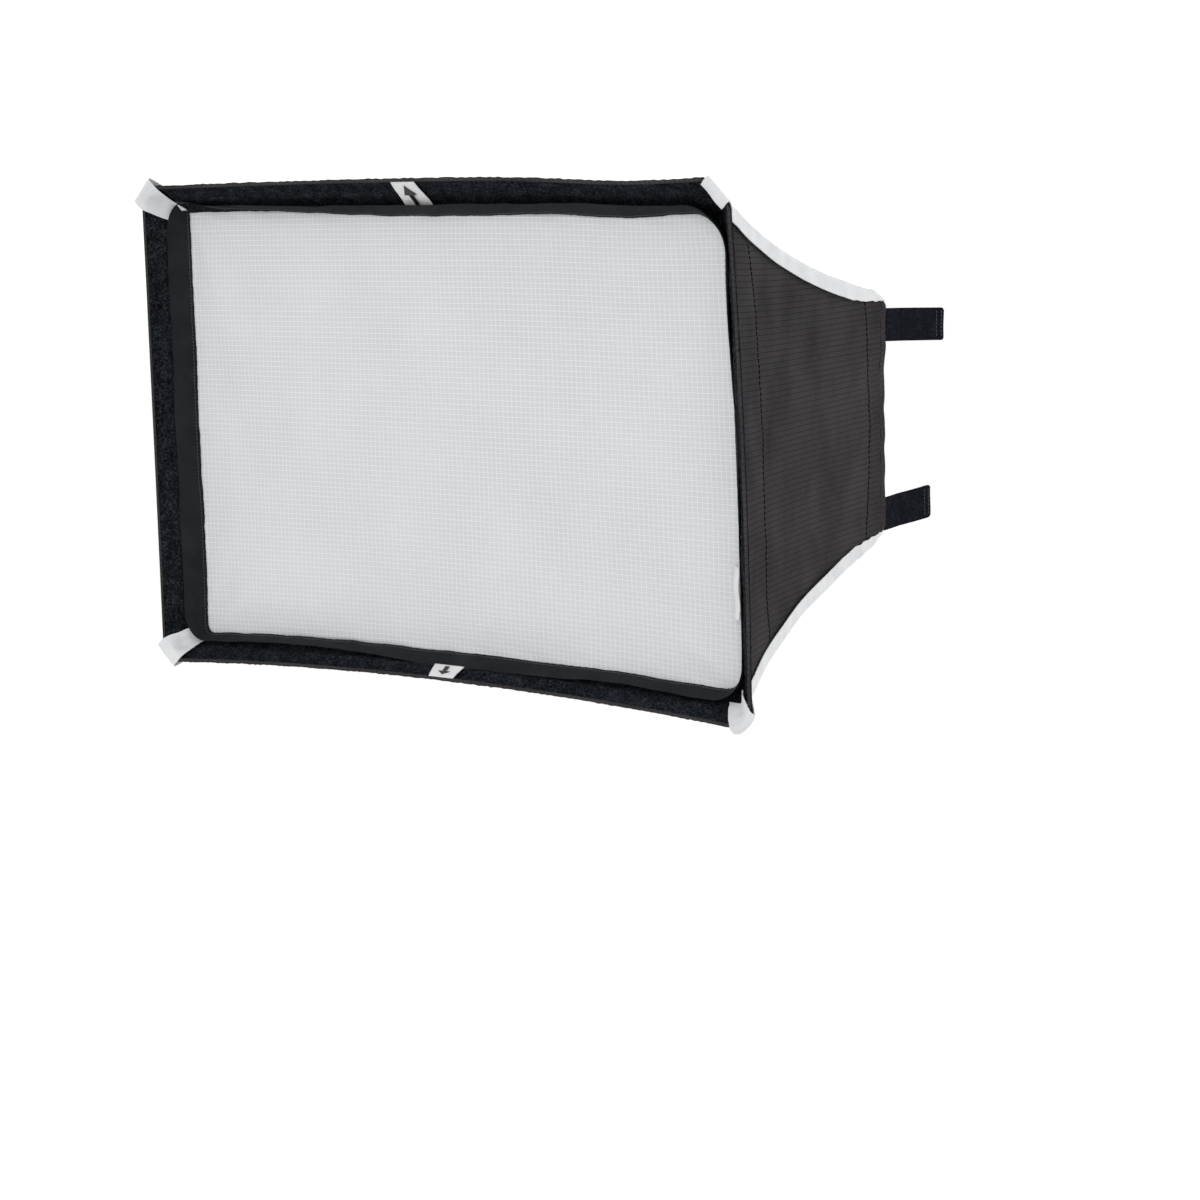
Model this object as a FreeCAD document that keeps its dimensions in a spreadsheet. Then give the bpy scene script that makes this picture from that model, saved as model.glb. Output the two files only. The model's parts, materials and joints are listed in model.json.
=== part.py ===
import FreeCAD, Part
import math
import os

import Sketcher

# Studio softbox: a folding fabric light shaper that straps to a rectangular panel lamp.
#
# Frame: origin at the centre of the rear opening plane, +X to the right seen from the front,
# +Y back towards the lamp, +Z up, so the front faces -Y. All lengths are in millimetres.
# "Inset" is measured from the outer face of the shell towards the centre line, along X or Z.
# "Depth" is measured from the front edge backwards.

doc = FreeCAD.newDocument("softbox")
sheet = doc.addObject("Spreadsheet::Sheet", "Dimensions")

DIMENSIONS = [
    ("front_width", 700, "outer width over the front edge"),
    ("front_height", 460, "outer height over the front edge"),
    ("rear_width", 330, "outer width of the rear opening"),
    ("rear_height", 240, "outer height of the rear opening"),
    ("depth", 485, "front edge to rear edge"),
    ("lip_depth", 30, "depth of the flared front lip"),
    ("lip_flare_x", 24, "how far the lip flares sideways"),
    ("lip_flare_z", 20, "how far the lip flares up and down"),
    ("bow", 0.1, "inward bow of the walls, as a share of their flare"),
    ("fabric", 1.4, "thickness of the shell fabric"),
    ("lining", 0.9, "thickness of the silver lining"),
    ("layer_gap", 0.5, "space between two fabric layers"),
    ("lining_depth", 62, "front edge to the front edge of the lining"),
    ("corner_trim_x", 13, "inset of the top and bottom panels from the side faces"),
    ("corner_trim_z", 23, "inset of the side panels from the top and bottom faces"),
    ("tape_width", 24, "width of the white tape across a corner edge"),
    ("tape_thickness", 1, "thickness of the white tape"),
    ("rod_radius", 2.25, "radius of every frame rod"),
    ("spine_inset", 5.8, "corner edge to the axis of a spine rod, square on"),
    ("rod_depth", 47, "depth of the front frame's rods"),
    ("rod_inset_x", 52, "inset of the upright rods"),
    ("rod_inset_z", 36, "inset of the cross rods"),
    ("pivot_inset", 61, "inset of the corner pivots"),
    ("pin_offset", 6, "cross rod's axis to its centre hinge pin"),
    ("pin_radius", 1.2, "radius of every hinge pin"),
    ("running_gap", 0.05, "radial clearance of a pin in the part that turns on it"),
    ("ferrule_radius", 3.5, "outer radius of a fitting's sleeve round a rod"),
    ("ferrule_length", 18, "length of a fitting's sleeve"),
    ("hinge_height", 8.6, "height of a corner pivot's fork"),
    ("hem_depth", 45, "depth of the rear hem"),
    ("hem_thickness", 1.2, "thickness of the rear hem's inner layer"),
    ("hem_inset", 4.6, "inset of the rear hem's inner layer"),
    ("batten_length", 190, "length of the stiffener in a rear hem"),
    ("rim_start", 1.5, "depth of the rim tape's front edge"),
    ("rim_end", 32, "depth of the rim tape's rear edge"),
    ("rim_inset", 3.2, "inset of the rim tape at its front edge"),
    ("rim_inset_x", 32, "inset of the side rim tape at its rear edge"),
    ("rim_inset_z", 30, "inset of the top and bottom rim tape at its rear edge"),
    ("rim_thickness", 1.2, "thickness of the loop tape along X or Z"),
    ("border_depth", 16, "depth of the diffuser border's front edge"),
    ("cloth_depth", 33, "depth of the diffuser cloth's front face"),
    ("cloth_thickness", 1.2, "thickness of the diffuser cloth"),
    ("hook_gap", 0.4, "space between the loop tape and the hook tape, along X or Z"),
    ("hook_thickness", 0.8, "thickness of the hook tape along X or Z"),
    ("border_gap", 1.5, "space between the loop tape and the diffuser border, along X or Z"),
    ("border_thickness", 1.6, "thickness of the diffuser border along X or Z"),
    ("strap_width", 38, "width of a lamp strap"),
    ("strap_thickness", 1.6, "thickness of a lamp strap"),
    ("strap_inset", 7, "inset of a strap's middle from the rear side face"),
    ("strap_root", 1.4, "rear opening plane to the fold line of a strap"),
    ("upper_strap", 100, "length of an upper strap, with its fold line at strap_root"),
    ("lower_strap", 80, "length of a lower strap, with its fold line at strap_root"),
    ("upper_strap_drop", 12, "top of the rear opening to the upper edge of an upper strap"),
    ("lower_strap_rise", 2, "bottom of the rear opening to the lower edge of a lower strap"),
    ("strap_splay", 6, "angle at which a strap leans outwards, in degrees"),
]

# The side walls (x), the top and bottom walls (z) and the corner edges (d, seen square on) all
# follow a round arc from the rear edge to the lip, then run straight to the front edge.
DERIVED = [
    ("main_depth", "depth - lip_depth"),
    ("start_x", "rear_width / 2"),
    ("start_z", "rear_height / 2"),
    ("start_d", "0"),
    ("flare_x", "(front_width - rear_width) / 2 - lip_flare_x"),
    ("flare_z", "(front_height - rear_height) / 2 - lip_flare_z"),
    ("flare_d", "sqrt(flare_x ^ 2 + flare_z ^ 2)"),
    ("tip_x", "front_width / 2"),
    ("tip_z", "front_height / 2"),
]
for way in "xzd":
    DERIVED += [
        (f"chord_{way}", f"sqrt(main_depth ^ 2 + flare_{way} ^ 2)"),
        (f"sagitta_{way}", f"bow * flare_{way} * main_depth / chord_{way}"),
        (f"bend_{way}", f"(chord_{way} ^ 2 / 4 + sagitta_{way} ^ 2) / (2 * sagitta_{way})"),
        (f"reach_{way}", f"(bend_{way} - sagitta_{way}) / chord_{way}"),
        (f"centre_{way}", f"start_{way} + flare_{way} / 2 + reach_{way} * main_depth"),
        (f"centre_y_{way}", f"reach_{way} * flare_{way} - main_depth / 2"),
    ]

for row, (name, value, meaning) in enumerate(DIMENSIONS, start=1):
    sheet.set(f"A{row}", name)
    sheet.set(f"B{row}", str(value))
    sheet.setAlias(f"B{row}", name)
    sheet.set(f"C{row}", meaning)
for row, (name, formula) in enumerate(DERIVED, start=len(DIMENSIONS) + 1):
    sheet.set(f"A{row}", name)
    sheet.set(f"B{row}", "=" + formula)
    sheet.setAlias(f"B{row}", name)
doc.recompute()

CELL_NAMES = {name for name, *_ in DIMENSIONS + DERIVED}
XYZ = "xyz"
parts = {}


def bound(expression):
    """The expression with every dimension's name turned into a reference to its cell."""
    text = ""
    word = ""
    for letter in str(expression) + " ":
        if letter.isalnum() or letter in "_.":
            word += letter
            continue
        text += "Dimensions." + word if word in CELL_NAMES else word
        text += letter
        word = ""
    return text.strip()


def number(expression):
    """The value of an expression written with the dimensions' names."""
    value = sheet.evalExpression(bound(expression))
    return float(getattr(value, "Value", value))


def keep(name, thing):
    """Makes an object one of the finished sub-parts, under its own name."""
    thing.Label = name
    parts[name] = thing


# ---------------------------------------------------------------- sketched bodies

def new_body(name):
    body = doc.addObject("PartDesign::Body", name + "_body")
    keep(name, body)
    return body


def origin_plane(body, role):
    return next(f for f in body.Origin.OriginFeatures if f.Role == role)


def new_sketch(body, name, role):
    sketch = body.newObject("Sketcher::SketchObject", name)
    sketch.AttachmentSupport = [(origin_plane(body, role), "")]
    sketch.MapMode = "FlatFace"
    return sketch


def draw_loop(sketch, corners, arcs):
    """Draws a closed outline whose corners and arc radii are bound to the spreadsheet.

    corners: pairs of expressions. arcs: edge number to (radius, centre h, centre v); the other
    edges are straight. An arc takes the short way round.
    """
    points = [FreeCAD.Vector(number(across), number(up), 0) for across, up in corners]
    first = sketch.GeometryCount
    starts_here = []
    for index, start in enumerate(points):
        end = points[(index + 1) % len(points)]
        if index not in arcs:
            sketch.addGeometry(Part.LineSegment(start, end), False)
            starts_here.append(True)
            continue
        radius, across, up = arcs[index]
        centre = FreeCAD.Vector(number(across), number(up), 0)
        forward = (start - centre).cross(end - centre).z > 0
        low, high = (start, end) if forward else (end, start)
        angles = [math.atan2(point.y - centre.y, point.x - centre.x) for point in (low, high)]
        circle = Part.Circle(centre, FreeCAD.Vector(0, 0, 1), number(radius))
        sketch.addGeometry(Part.ArcOfCircle(circle, *angles), False)
        starts_here.append(forward)
    for index, (across, up) in enumerate(corners):
        edge = first + index
        previous = first + (index - 1) % len(corners)
        here = 1 if starts_here[index] else 2
        before = 2 if starts_here[previous - first] else 1
        sketch.addConstraint(Sketcher.Constraint("Coincident", previous, before, edge, here))
        for kind, expression in (("DistanceX", across), ("DistanceY", up)):
            constraint = Sketcher.Constraint(kind, -1, 1, edge, here, number(expression))
            place = sketch.addConstraint(constraint)
            sketch.setExpression(f"Constraints[{place}]", bound(expression))
        if index in arcs:
            radius = arcs[index][0]
            place = sketch.addConstraint(Sketcher.Constraint("Radius", edge, number(radius)))
            sketch.setExpression(f"Constraints[{place}]", bound(radius))


def add_pad(body, sketch, length, side="Symmetric", flip=False):
    pad = body.newObject("PartDesign::Pad", sketch.Name + "_pad")
    pad.Profile = sketch
    pad.setExpression("Length", bound(length))
    pad.SideType = side
    pad.Reversed = flip
    body.Tip = pad
    return pad


def add_through_pocket(body, sketch):
    pocket = body.newObject("PartDesign::Pocket", sketch.Name + "_cut")
    pocket.Profile = sketch
    pocket.setExpression("Length", bound("2 * front_width"))
    pocket.SideType = "Symmetric"
    body.Tip = pocket
    return pocket


# ---------------------------------------------------------------- outlines of the walls

def face_at(way, along):
    """Half the outer size at a place along Y on the arc."""
    return f"(centre_{way} - sqrt(bend_{way} ^ 2 - ({along} - centre_y_{way}) ^ 2))"


def turned(corners, way):
    """Sketch coordinates: (across, along) on the XY plane, (along, across) on the YZ plane."""
    return [(along, across) for across, along in corners] if way == "z" else corners


def turned_arc(arc, way):
    radius, across, along = arc
    return (radius, along, across) if way == "z" else arc


def draw_layer(sketch, way, sign, insets, rear, front, with_lip=False):
    """The edge-on outline of a fabric layer between two insets, from rear to front along Y."""
    outer, inner = insets
    arc = {}
    corners = []
    for inset, order in ((outer, 1), (inner, -1)):
        leg = [(f"{sign} * ({face_at(way, rear)} - ({inset}))", rear)]
        leg.append((f"{sign} * ({face_at(way, front)} - ({inset}))", front))
        if with_lip:
            leg.append((f"{sign} * (tip_{way} - ({inset}))", "-depth"))
        corners += leg[::order]
    lines_on_leg = 2 if with_lip else 1
    for edge, inset in ((0, outer), (2 * lines_on_leg, inner)):
        centre = (f"bend_{way}", f"{sign} * (centre_{way} - ({inset}))", f"centre_y_{way}")
        arc[edge] = turned_arc(centre, way)
    draw_loop(sketch, turned(corners, way), arc)


TRIM_PAST = "20"
FOLD_GAP = 1.0


def draw_trim(sketch, way, sign, inset):
    """Everything further out than a line that follows the outer face at a fixed inset."""
    rear_edge = f"{sign} * (start_{way} - {inset})"
    front_edge = f"{sign} * (tip_{way} - {inset})"
    lip_edge = f"{sign} * (start_{way} + flare_{way} - {inset})"
    far = f"{sign} * 2 * front_width"
    corners = [
        (rear_edge, "0"),
        (lip_edge, "-main_depth"),
        (front_edge, "-depth"),
        (front_edge, f"-depth - {TRIM_PAST}"),
        (far, f"-depth - {TRIM_PAST}"),
        (far, TRIM_PAST),
        (rear_edge, TRIM_PAST),
    ]
    centre = (f"bend_{way}", f"{sign} * (centre_{way} - {inset})", f"centre_y_{way}")
    draw_loop(sketch, turned(corners, way), {0: turned_arc(centre, way)})


def side_layer(name, sign, insets, rear, front, with_lip=False, length=None):
    """An upright layer: drawn from above, padded along Z, trimmed along the corner edges."""
    body = new_body(name)
    plan = new_sketch(body, name + "_plan", "XY_Plane")
    draw_layer(plan, "x", sign, insets, rear, front, with_lip)
    add_pad(body, plan, length or "front_height")
    if length:
        return body
    edges = new_sketch(body, name + "_edges", "YZ_Plane")
    for upward in (1, -1):
        draw_trim(edges, "z", upward, "corner_trim_z")
    add_through_pocket(body, edges)
    return body


def half_layer(name, side, upward, insets, rear, front, with_lip=False):
    """Half of a top or bottom layer, from the fold line at the middle to the corner edge."""
    body = new_body(name)
    profile = new_sketch(body, name + "_profile", "YZ_Plane")
    fold_face = FreeCAD.Vector(0, 0, side * FOLD_GAP / 2)
    profile.AttachmentOffset = FreeCAD.Placement(fold_face, FreeCAD.Rotation())
    draw_layer(profile, "z", upward, insets, rear, front, with_lip)
    add_pad(body, profile, "front_width", side="One side", flip=side < 0)
    edges = new_sketch(body, name + "_edges", "XY_Plane")
    draw_trim(edges, "x", side, "corner_trim_x")
    add_through_pocket(body, edges)
    return body


SIDES = (("left", -1), ("right", 1))
HEIGHTS = (("top", 1), ("bottom", -1))
SHELL = ("0", "fabric")
LINING = ("fabric + layer_gap", "fabric + layer_gap + lining")
LINING_REAR = "-hem_depth - 3"
LINING_FRONT = "-(depth - lining_depth)"

for side, sign in SIDES:
    side_layer(f"{side}_side_panel", sign, SHELL, "0", "-main_depth", with_lip=True)
    side_layer(f"{side}_side_lining", sign, LINING, LINING_REAR, LINING_FRONT)
    for height, upward in HEIGHTS:
        half_layer(f"{height}_panel_{side}_half", sign, upward, SHELL, "0", "-main_depth", with_lip=True)
        half_layer(f"{height}_lining_{side}_half", sign, upward, LINING, LINING_REAR, LINING_FRONT)


# ---------------------------------------------------------------- rear hems and their battens

HEM_CAP = "1.5"
HEM_CAP_GAP = "0.3"
BATTEN_INSETS = ("2", "4")
BATTEN_REAR = "-3"
BATTEN_FRONT = "-14"

for side, sign in SIDES:
    hem_layers = ("hem_inset", "hem_inset + hem_thickness")
    hem = side_layer(f"{side}_rear_hem", sign, hem_layers, "0", "-hem_depth")
    cap = new_sketch(hem, f"{side}_hem_cap", "XY_Plane")
    cap_outer = f"{sign} * (start_x - fabric - {HEM_CAP_GAP})"
    cap_inner = f"{sign} * (start_x - hem_inset - hem_thickness)"
    cap_front = f"-{HEM_CAP}"
    cap_corners = [(cap_outer, "0"), (cap_inner, "0"), (cap_inner, cap_front), (cap_outer, cap_front)]
    draw_loop(cap, cap_corners, {})
    add_pad(hem, cap, "rear_height - 2 * corner_trim_z")
    batten = f"{side}_rear_batten"
    side_layer(batten, sign, BATTEN_INSETS, BATTEN_REAR, BATTEN_FRONT, length="batten_length")


# ---------------------------------------------------------------- white corner tapes and spines

def lie_along_corner(thing, side, upward):
    """Turns an object drawn in the (d, y) plane so that it lies along one of the corner edges."""
    flare_x, flare_z = number("flare_x"), number("flare_z")
    turn = math.degrees(math.atan2(upward * flare_z, side * flare_x))
    half_width = number("tape_width") / 2
    share = half_width / number("flare_d")
    corner = FreeCAD.Vector(
        side * (number("start_x") - share * flare_z),
        0,
        upward * (number("start_z") - share * flare_x),
    )
    about_y = FreeCAD.Rotation(FreeCAD.Vector(0, 1, 0), -turn)
    thing.Placement = FreeCAD.Placement(corner, about_y)
    return thing.Placement


TAPE_REAR = "-0.5"
TAPE_FRONT = "-(main_depth - 3)"
SPINE_REAR = "-20"
SPINE_FRONT = "-(depth - rod_depth - 8)"


def spine_point(along):
    """A point on a spine rod's axis in its own plane, and the rod's direction there."""
    point = FreeCAD.Vector(number(f"{face_at('d', along)} - spine_inset"), number(along), 0)
    centre = FreeCAD.Vector(number("centre_d - spine_inset"), number("centre_y_d"), 0)
    spoke = (point - centre).normalize()
    return point, FreeCAD.Vector(-spoke.y, spoke.x, 0)


def spine_rod(name):
    """A bowed rod: a piece of a ring between the rear hem and the corner joint."""
    rod = doc.addObject("Part::Torus", name + "_ring")
    rod.setExpression("Radius1", bound("bend_d"))
    rod.setExpression("Radius2", bound("rod_radius"))
    start = f"asin(({SPINE_REAR} - centre_y_d) / bend_d)"
    finish = f"asin(({SPINE_FRONT} - centre_y_d) / bend_d)"
    rod.setExpression("Angle3", bound(f"{start} - {finish}"))
    return rod


corner_places = {}
for height, upward in HEIGHTS:
    for side, sign in SIDES:
        tape = new_body(f"{side}_{height}_spine_tape")
        edge = new_sketch(tape, f"{side}_{height}_tape_edge", "XY_Plane")
        draw_layer(edge, "d", 1, ("0", "tape_thickness"), TAPE_REAR, TAPE_FRONT)
        add_pad(tape, edge, "tape_width")
        place = lie_along_corner(tape, sign, upward)
        corner_places[side, height] = place

        rod = spine_rod(f"{side}_{height}_spine")
        keep(f"{side}_{height}_spine_rod", rod)
        centre = FreeCAD.Vector(number("centre_d - spine_inset"), number("centre_y_d"), 0)
        rear_turn = math.degrees(math.asin(number(f"({SPINE_REAR} - centre_y_d) / bend_d")))
        to_rear = FreeCAD.Rotation(FreeCAD.Vector(0, 0, 1), 180 - rear_turn)
        rod.Placement = place.multiply(FreeCAD.Placement(centre, to_rear))


# ---------------------------------------------------------------- plain solids bound to the sheet

def put(thing, place):
    for letter, expression in zip(XYZ, place):
        thing.setExpression(f"Placement.Base.{letter}", bound(expression))


def box(name, low, size):
    thing = doc.addObject("Part::Box", name)
    for prop, expression in zip(("Length", "Width", "Height"), size):
        thing.setExpression(prop, bound(expression))
    put(thing, low)
    return thing


def upright_cylinder(name, radius, height, base):
    thing = doc.addObject("Part::Cylinder", name)
    thing.setExpression("Radius", bound(radius))
    thing.setExpression("Height", bound(height))
    put(thing, base)
    return thing


def level_cylinder(name, radius, length, low_end):
    """A cylinder along +X from its low end."""
    thing = upright_cylinder(name, radius, length, low_end)
    thing.Placement.Rotation = FreeCAD.Rotation(FreeCAD.Vector(0, 1, 0), 90)
    return thing


def fuse(name, shapes):
    thing = doc.addObject("Part::MultiFuse", name)
    thing.Shapes = shapes
    return thing


def cut(name, base, tools):
    tool = tools[0] if len(tools) == 1 else fuse(name + "_tools", tools)
    thing = doc.addObject("Part::Cut", name)
    thing.Base = base
    thing.Tool = tool
    return thing


# ---------------------------------------------------------------- the folding front frame

ROD_Y = "-(depth - rod_depth)"
PIN_Y = f"({ROD_Y} - pin_offset)"
ROD_Z = "(tip_z - rod_inset_z)"
UPRIGHT_X = "(tip_x - rod_inset_x)"
PIVOT_X = "(tip_x - pivot_inset)"
EAR_RADIUS = "4.5"
TONGUE = "4"
SLOT = "4.6"
SOCKET_RADIUS = "4.5"
SOCKET_LENGTH = "22"
UPRIGHT_STOP = "6"
EYE_NECK = "9"
ROD_BITE = "12"
LEAF_BITE = "8"
BUTT_GAP = "0.2"
KNUCKLE_RADIUS = "2.2"
ARM_WIDTH = "7"
SLOT_RADIUS = "5.2"
NECK_WIDTH = "6"
WEB_FRONT = "1.5"
WEB_WIDTH = "4.5"
SPINE_SLEEVE = ("sleeve", "3.4", -8, 15)
SPINE_BORE = ("sleeve_bore", "rod_radius + 0.1", -9, 9)
PIN_HALF_GRIP = "3.5"
HEAD_RADIUS = "2"
HEAD_THICKNESS = "0.7"


def span(sign, inner, outer):
    """The low end and the length of a stretch between two distances from the middle plane."""
    low = inner if sign > 0 else f"-({outer})"
    return low, f"({outer}) - ({inner})"


def corner_joint(side, sign, height, upward):
    """Sockets for the upright and spine rods, and a fork for the cross rod's eye."""
    name = f"{side}_{height}_joint"
    rod_z = f"{upward} * {ROD_Z}"
    low_z, socket_length = span(upward, f"{ROD_Z} - {SOCKET_LENGTH}", f"{ROD_Z} + hinge_height / 2")
    upright_x = f"{sign} * {UPRIGHT_X}"
    pivot_x = f"{sign} * {PIVOT_X}"
    fork_low = f"{rod_z} - hinge_height / 2"
    socket = upright_cylinder(name + "_socket", SOCKET_RADIUS, socket_length, (upright_x, ROD_Y, low_z))
    arm_x, arm_length = span(sign, PIVOT_X, UPRIGHT_X)
    arm_low = (arm_x, f"{ROD_Y} - {ARM_WIDTH} / 2", fork_low)
    arm = box(name + "_arm", arm_low, (arm_length, ARM_WIDTH, "hinge_height"))
    ears = upright_cylinder(name + "_ears", EAR_RADIUS, "hinge_height", (pivot_x, ROD_Y, fork_low))
    slot_low = f"{rod_z} - {SLOT} / 2"
    slot = upright_cylinder(name + "_slot", SLOT_RADIUS, SLOT, (pivot_x, ROD_Y, slot_low))
    bore_z, bore_length = span(upward, f"{ROD_Z} - {SOCKET_LENGTH} - 1", f"{ROD_Z} - {UPRIGHT_STOP}")
    bore = upright_cylinder(name + "_bore", "rod_radius", bore_length, (upright_x, ROD_Y, bore_z))
    hole_low = f"{rod_z} - hinge_height"
    hole = upright_cylinder(name + "_hole", "pin_radius", "2 * hinge_height", (pivot_x, ROD_Y, hole_low))

    end, forward = spine_point(SPINE_FRONT)
    if forward.y > 0:
        forward = forward * -1
    towards = FreeCAD.Rotation(FreeCAD.Vector(0, 0, 1), forward)
    sleeves = []
    for label, radius, start, length in (SPINE_SLEEVE, SPINE_BORE):
        sleeve = doc.addObject("Part::Cylinder", f"{name}_{label}")
        sleeve.setExpression("Radius", bound(radius))
        sleeve.Height = length
        local = FreeCAD.Placement(end + forward * start, towards)
        sleeve.Placement = corner_places[side, height].multiply(local)
        sleeves.append(sleeve)
    solid = fuse(name + "_solid", [socket, arm, ears, sleeves[0]])
    keep(f"{side}_{height}_corner_joint", cut(name, solid, [slot, bore, hole, sleeves[1]]))


def rod_eye(side, sign, height, upward):
    """The flat eye on a cross rod's outer end, which turns in the corner joint's fork."""
    name = f"{height}_{side}_eye"
    rod_z = f"{upward} * {ROD_Z}"
    pivot_x = f"{sign} * {PIVOT_X}"
    tongue_low = f"{rod_z} - {TONGUE} / 2"
    disc = upright_cylinder(name + "_disc", EAR_RADIUS, TONGUE, (pivot_x, ROD_Y, tongue_low))
    neck_x, neck_length = span(sign, f"{PIVOT_X} - {EYE_NECK} - 1", PIVOT_X)
    neck_low = (neck_x, f"{ROD_Y} - {NECK_WIDTH} / 2", tongue_low)
    neck = box(name + "_neck", neck_low, (neck_length, NECK_WIDTH, TONGUE))
    sleeve_end = f"{PIVOT_X} - {EYE_NECK}"
    sleeve_x, sleeve_length = span(sign, f"{sleeve_end} - ferrule_length", sleeve_end)
    sleeve = level_cylinder(name + "_sleeve", "ferrule_radius", sleeve_length, (sleeve_x, ROD_Y, rod_z))
    bore_x, bore_length = span(sign, f"{sleeve_end} - ferrule_length - 1", f"{PIVOT_X} - {ROD_BITE}")
    bore = level_cylinder(name + "_bore", "rod_radius", bore_length, (bore_x, ROD_Y, rod_z))
    hole_base = (pivot_x, ROD_Y, f"{rod_z} - {TONGUE}")
    hole = upright_cylinder(name + "_hole", "pin_radius + running_gap", f"2 * {TONGUE}", hole_base)
    keep(f"{height}_{side}_rod_eye", cut(name, fuse(name + "_solid", [disc, neck, sleeve]), [bore, hole]))


def hinge_leaf(side, sign, height, upward, levels, hole_radius):
    """The centre fitting of a cross rod: a sleeve with one or two knuckles in front of it."""
    name = f"{height}_{side}_leaf"
    rod_z = f"{upward} * {ROD_Z}"
    sleeve_x, sleeve_length = span(sign, BUTT_GAP, f"{BUTT_GAP} + ferrule_length")
    pieces = [level_cylinder(name + "_sleeve", "ferrule_radius", sleeve_length, (sleeve_x, ROD_Y, rod_z))]
    for count, (low, high) in enumerate(levels):
        low_z = f"{rod_z} + {low}"
        thickness = f"{high} - ({low})"
        knuckle_name = f"{name}_knuckle_{count}"
        pieces.append(upright_cylinder(knuckle_name, KNUCKLE_RADIUS, thickness, ("0", PIN_Y, low_z)))
        web_x, web_length = span(sign, "0", LEAF_BITE)
        web_low = (web_x, f"{PIN_Y} - {WEB_FRONT}", low_z)
        pieces.append(box(f"{name}_web_{count}", web_low, (web_length, WEB_WIDTH, thickness)))
    bore_x, bore_length = span(sign, LEAF_BITE, f"{BUTT_GAP} + ferrule_length + 1")
    bore = level_cylinder(name + "_bore", "rod_radius", bore_length, (bore_x, ROD_Y, rod_z))
    hole_base = ("0", PIN_Y, f"{rod_z} - 2 * {PIN_HALF_GRIP}")
    hole = upright_cylinder(name + "_hole", hole_radius, f"4 * {PIN_HALF_GRIP}", hole_base)
    keep(f"{height}_{side}_hinge_leaf", cut(name, fuse(name + "_solid", pieces), [bore, hole]))


OUTER_KNUCKLES = (("1.3", PIN_HALF_GRIP), (f"-{PIN_HALF_GRIP}", "-1.3"))
MIDDLE_KNUCKLE = (("-1", "1"),)

for side, sign in SIDES:
    upright_half = f"{ROD_Z} - {UPRIGHT_STOP}"
    upright_base = (f"{sign} * {UPRIGHT_X}", ROD_Y, f"-({upright_half})")
    upright = upright_cylinder(f"{side}_upright", "rod_radius", f"2 * ({upright_half})", upright_base)
    keep(f"{side}_upright_rod", upright)
    for height, upward in HEIGHTS:
        corner_joint(side, sign, height, upward)
        rod_eye(side, sign, height, upward)
        rod_x, rod_length = span(sign, LEAF_BITE, f"{PIVOT_X} - {ROD_BITE}")
        rod_low = (rod_x, ROD_Y, f"{upward} * {ROD_Z}")
        rod = level_cylinder(f"{height}_{side}_cross", "rod_radius", rod_length, rod_low)
        keep(f"{height}_{side}_rod", rod)
        if side == "left":
            hinge_leaf(side, sign, height, upward, OUTER_KNUCKLES, "pin_radius")
        else:
            hinge_leaf(side, sign, height, upward, MIDDLE_KNUCKLE, "pin_radius + running_gap")

    pins = []
    for height, upward in HEIGHTS:
        pin_low = (f"{sign} * {PIVOT_X}", ROD_Y, f"{upward} * {ROD_Z} - hinge_height / 2")
        pins.append(upright_cylinder(f"{side}_{height}_corner_pin", "pin_radius", "hinge_height", pin_low))
    keep(f"{side}_corner_pins", fuse(f"{side}_pins", pins))

for height, upward in HEIGHTS:
    rod_z = f"{upward} * {ROD_Z}"
    shank_base = ("0", PIN_Y, f"{rod_z} - {PIN_HALF_GRIP}")
    shank = upright_cylinder(f"{height}_shank", "pin_radius", f"2 * {PIN_HALF_GRIP}", shank_base)
    heads = []
    for label, low in (("upper", PIN_HALF_GRIP), ("lower", f"(-{PIN_HALF_GRIP} - {HEAD_THICKNESS})")):
        head_base = ("0", PIN_Y, f"{rod_z} + {low}")
        heads.append(upright_cylinder(f"{height}_{label}_head", HEAD_RADIUS, HEAD_THICKNESS, head_base))
    keep(f"{height}_centre_pin", fuse(f"{height}_pin", [shank] + heads))


# ---------------------------------------------------------------- loop tape round the rim

def rim_line(way, inset, depth):
    """Half size of the rim tape's face at a depth, with an extra inset."""
    slope = f"((rim_inset_{way} - rim_inset) / (rim_end - rim_start))"
    return f"(tip_{way} - rim_inset - ({inset}) - ({depth} - rim_start) * {slope})"


def rim_corners(way, sign):
    return [
        (f"{sign} * {rim_line(way, '0', 'rim_start')}", "-(depth - rim_start)"),
        (f"{sign} * {rim_line(way, '0', 'rim_end')}", "-(depth - rim_end)"),
        (f"{sign} * {rim_line(way, 'rim_thickness', 'rim_end')}", "-(depth - rim_end)"),
        (f"{sign} * {rim_line(way, 'rim_thickness', 'rim_start')}", "-(depth - rim_start)"),
    ]


MITRE_PAST = "10"
SIDE_MITRE = "rim_thickness + 0.5"
LEVEL_MITRE = "0.3"


def rim_trim(way, sign, inset):
    """Everything outside the mitre line where two rim tapes meet at a corner."""
    front = f"-(depth - rim_start + {MITRE_PAST})"
    rear = f"-(depth - rim_end - {MITRE_PAST})"
    return [
        (f"{sign} * {rim_line(way, inset, f'rim_start - {MITRE_PAST}')}", front),
        (f"{sign} * {rim_line(way, inset, f'rim_end + {MITRE_PAST}')}", rear),
        (f"{sign} * 2 * front_width", rear),
        (f"{sign} * 2 * front_width", front),
    ]


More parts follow.
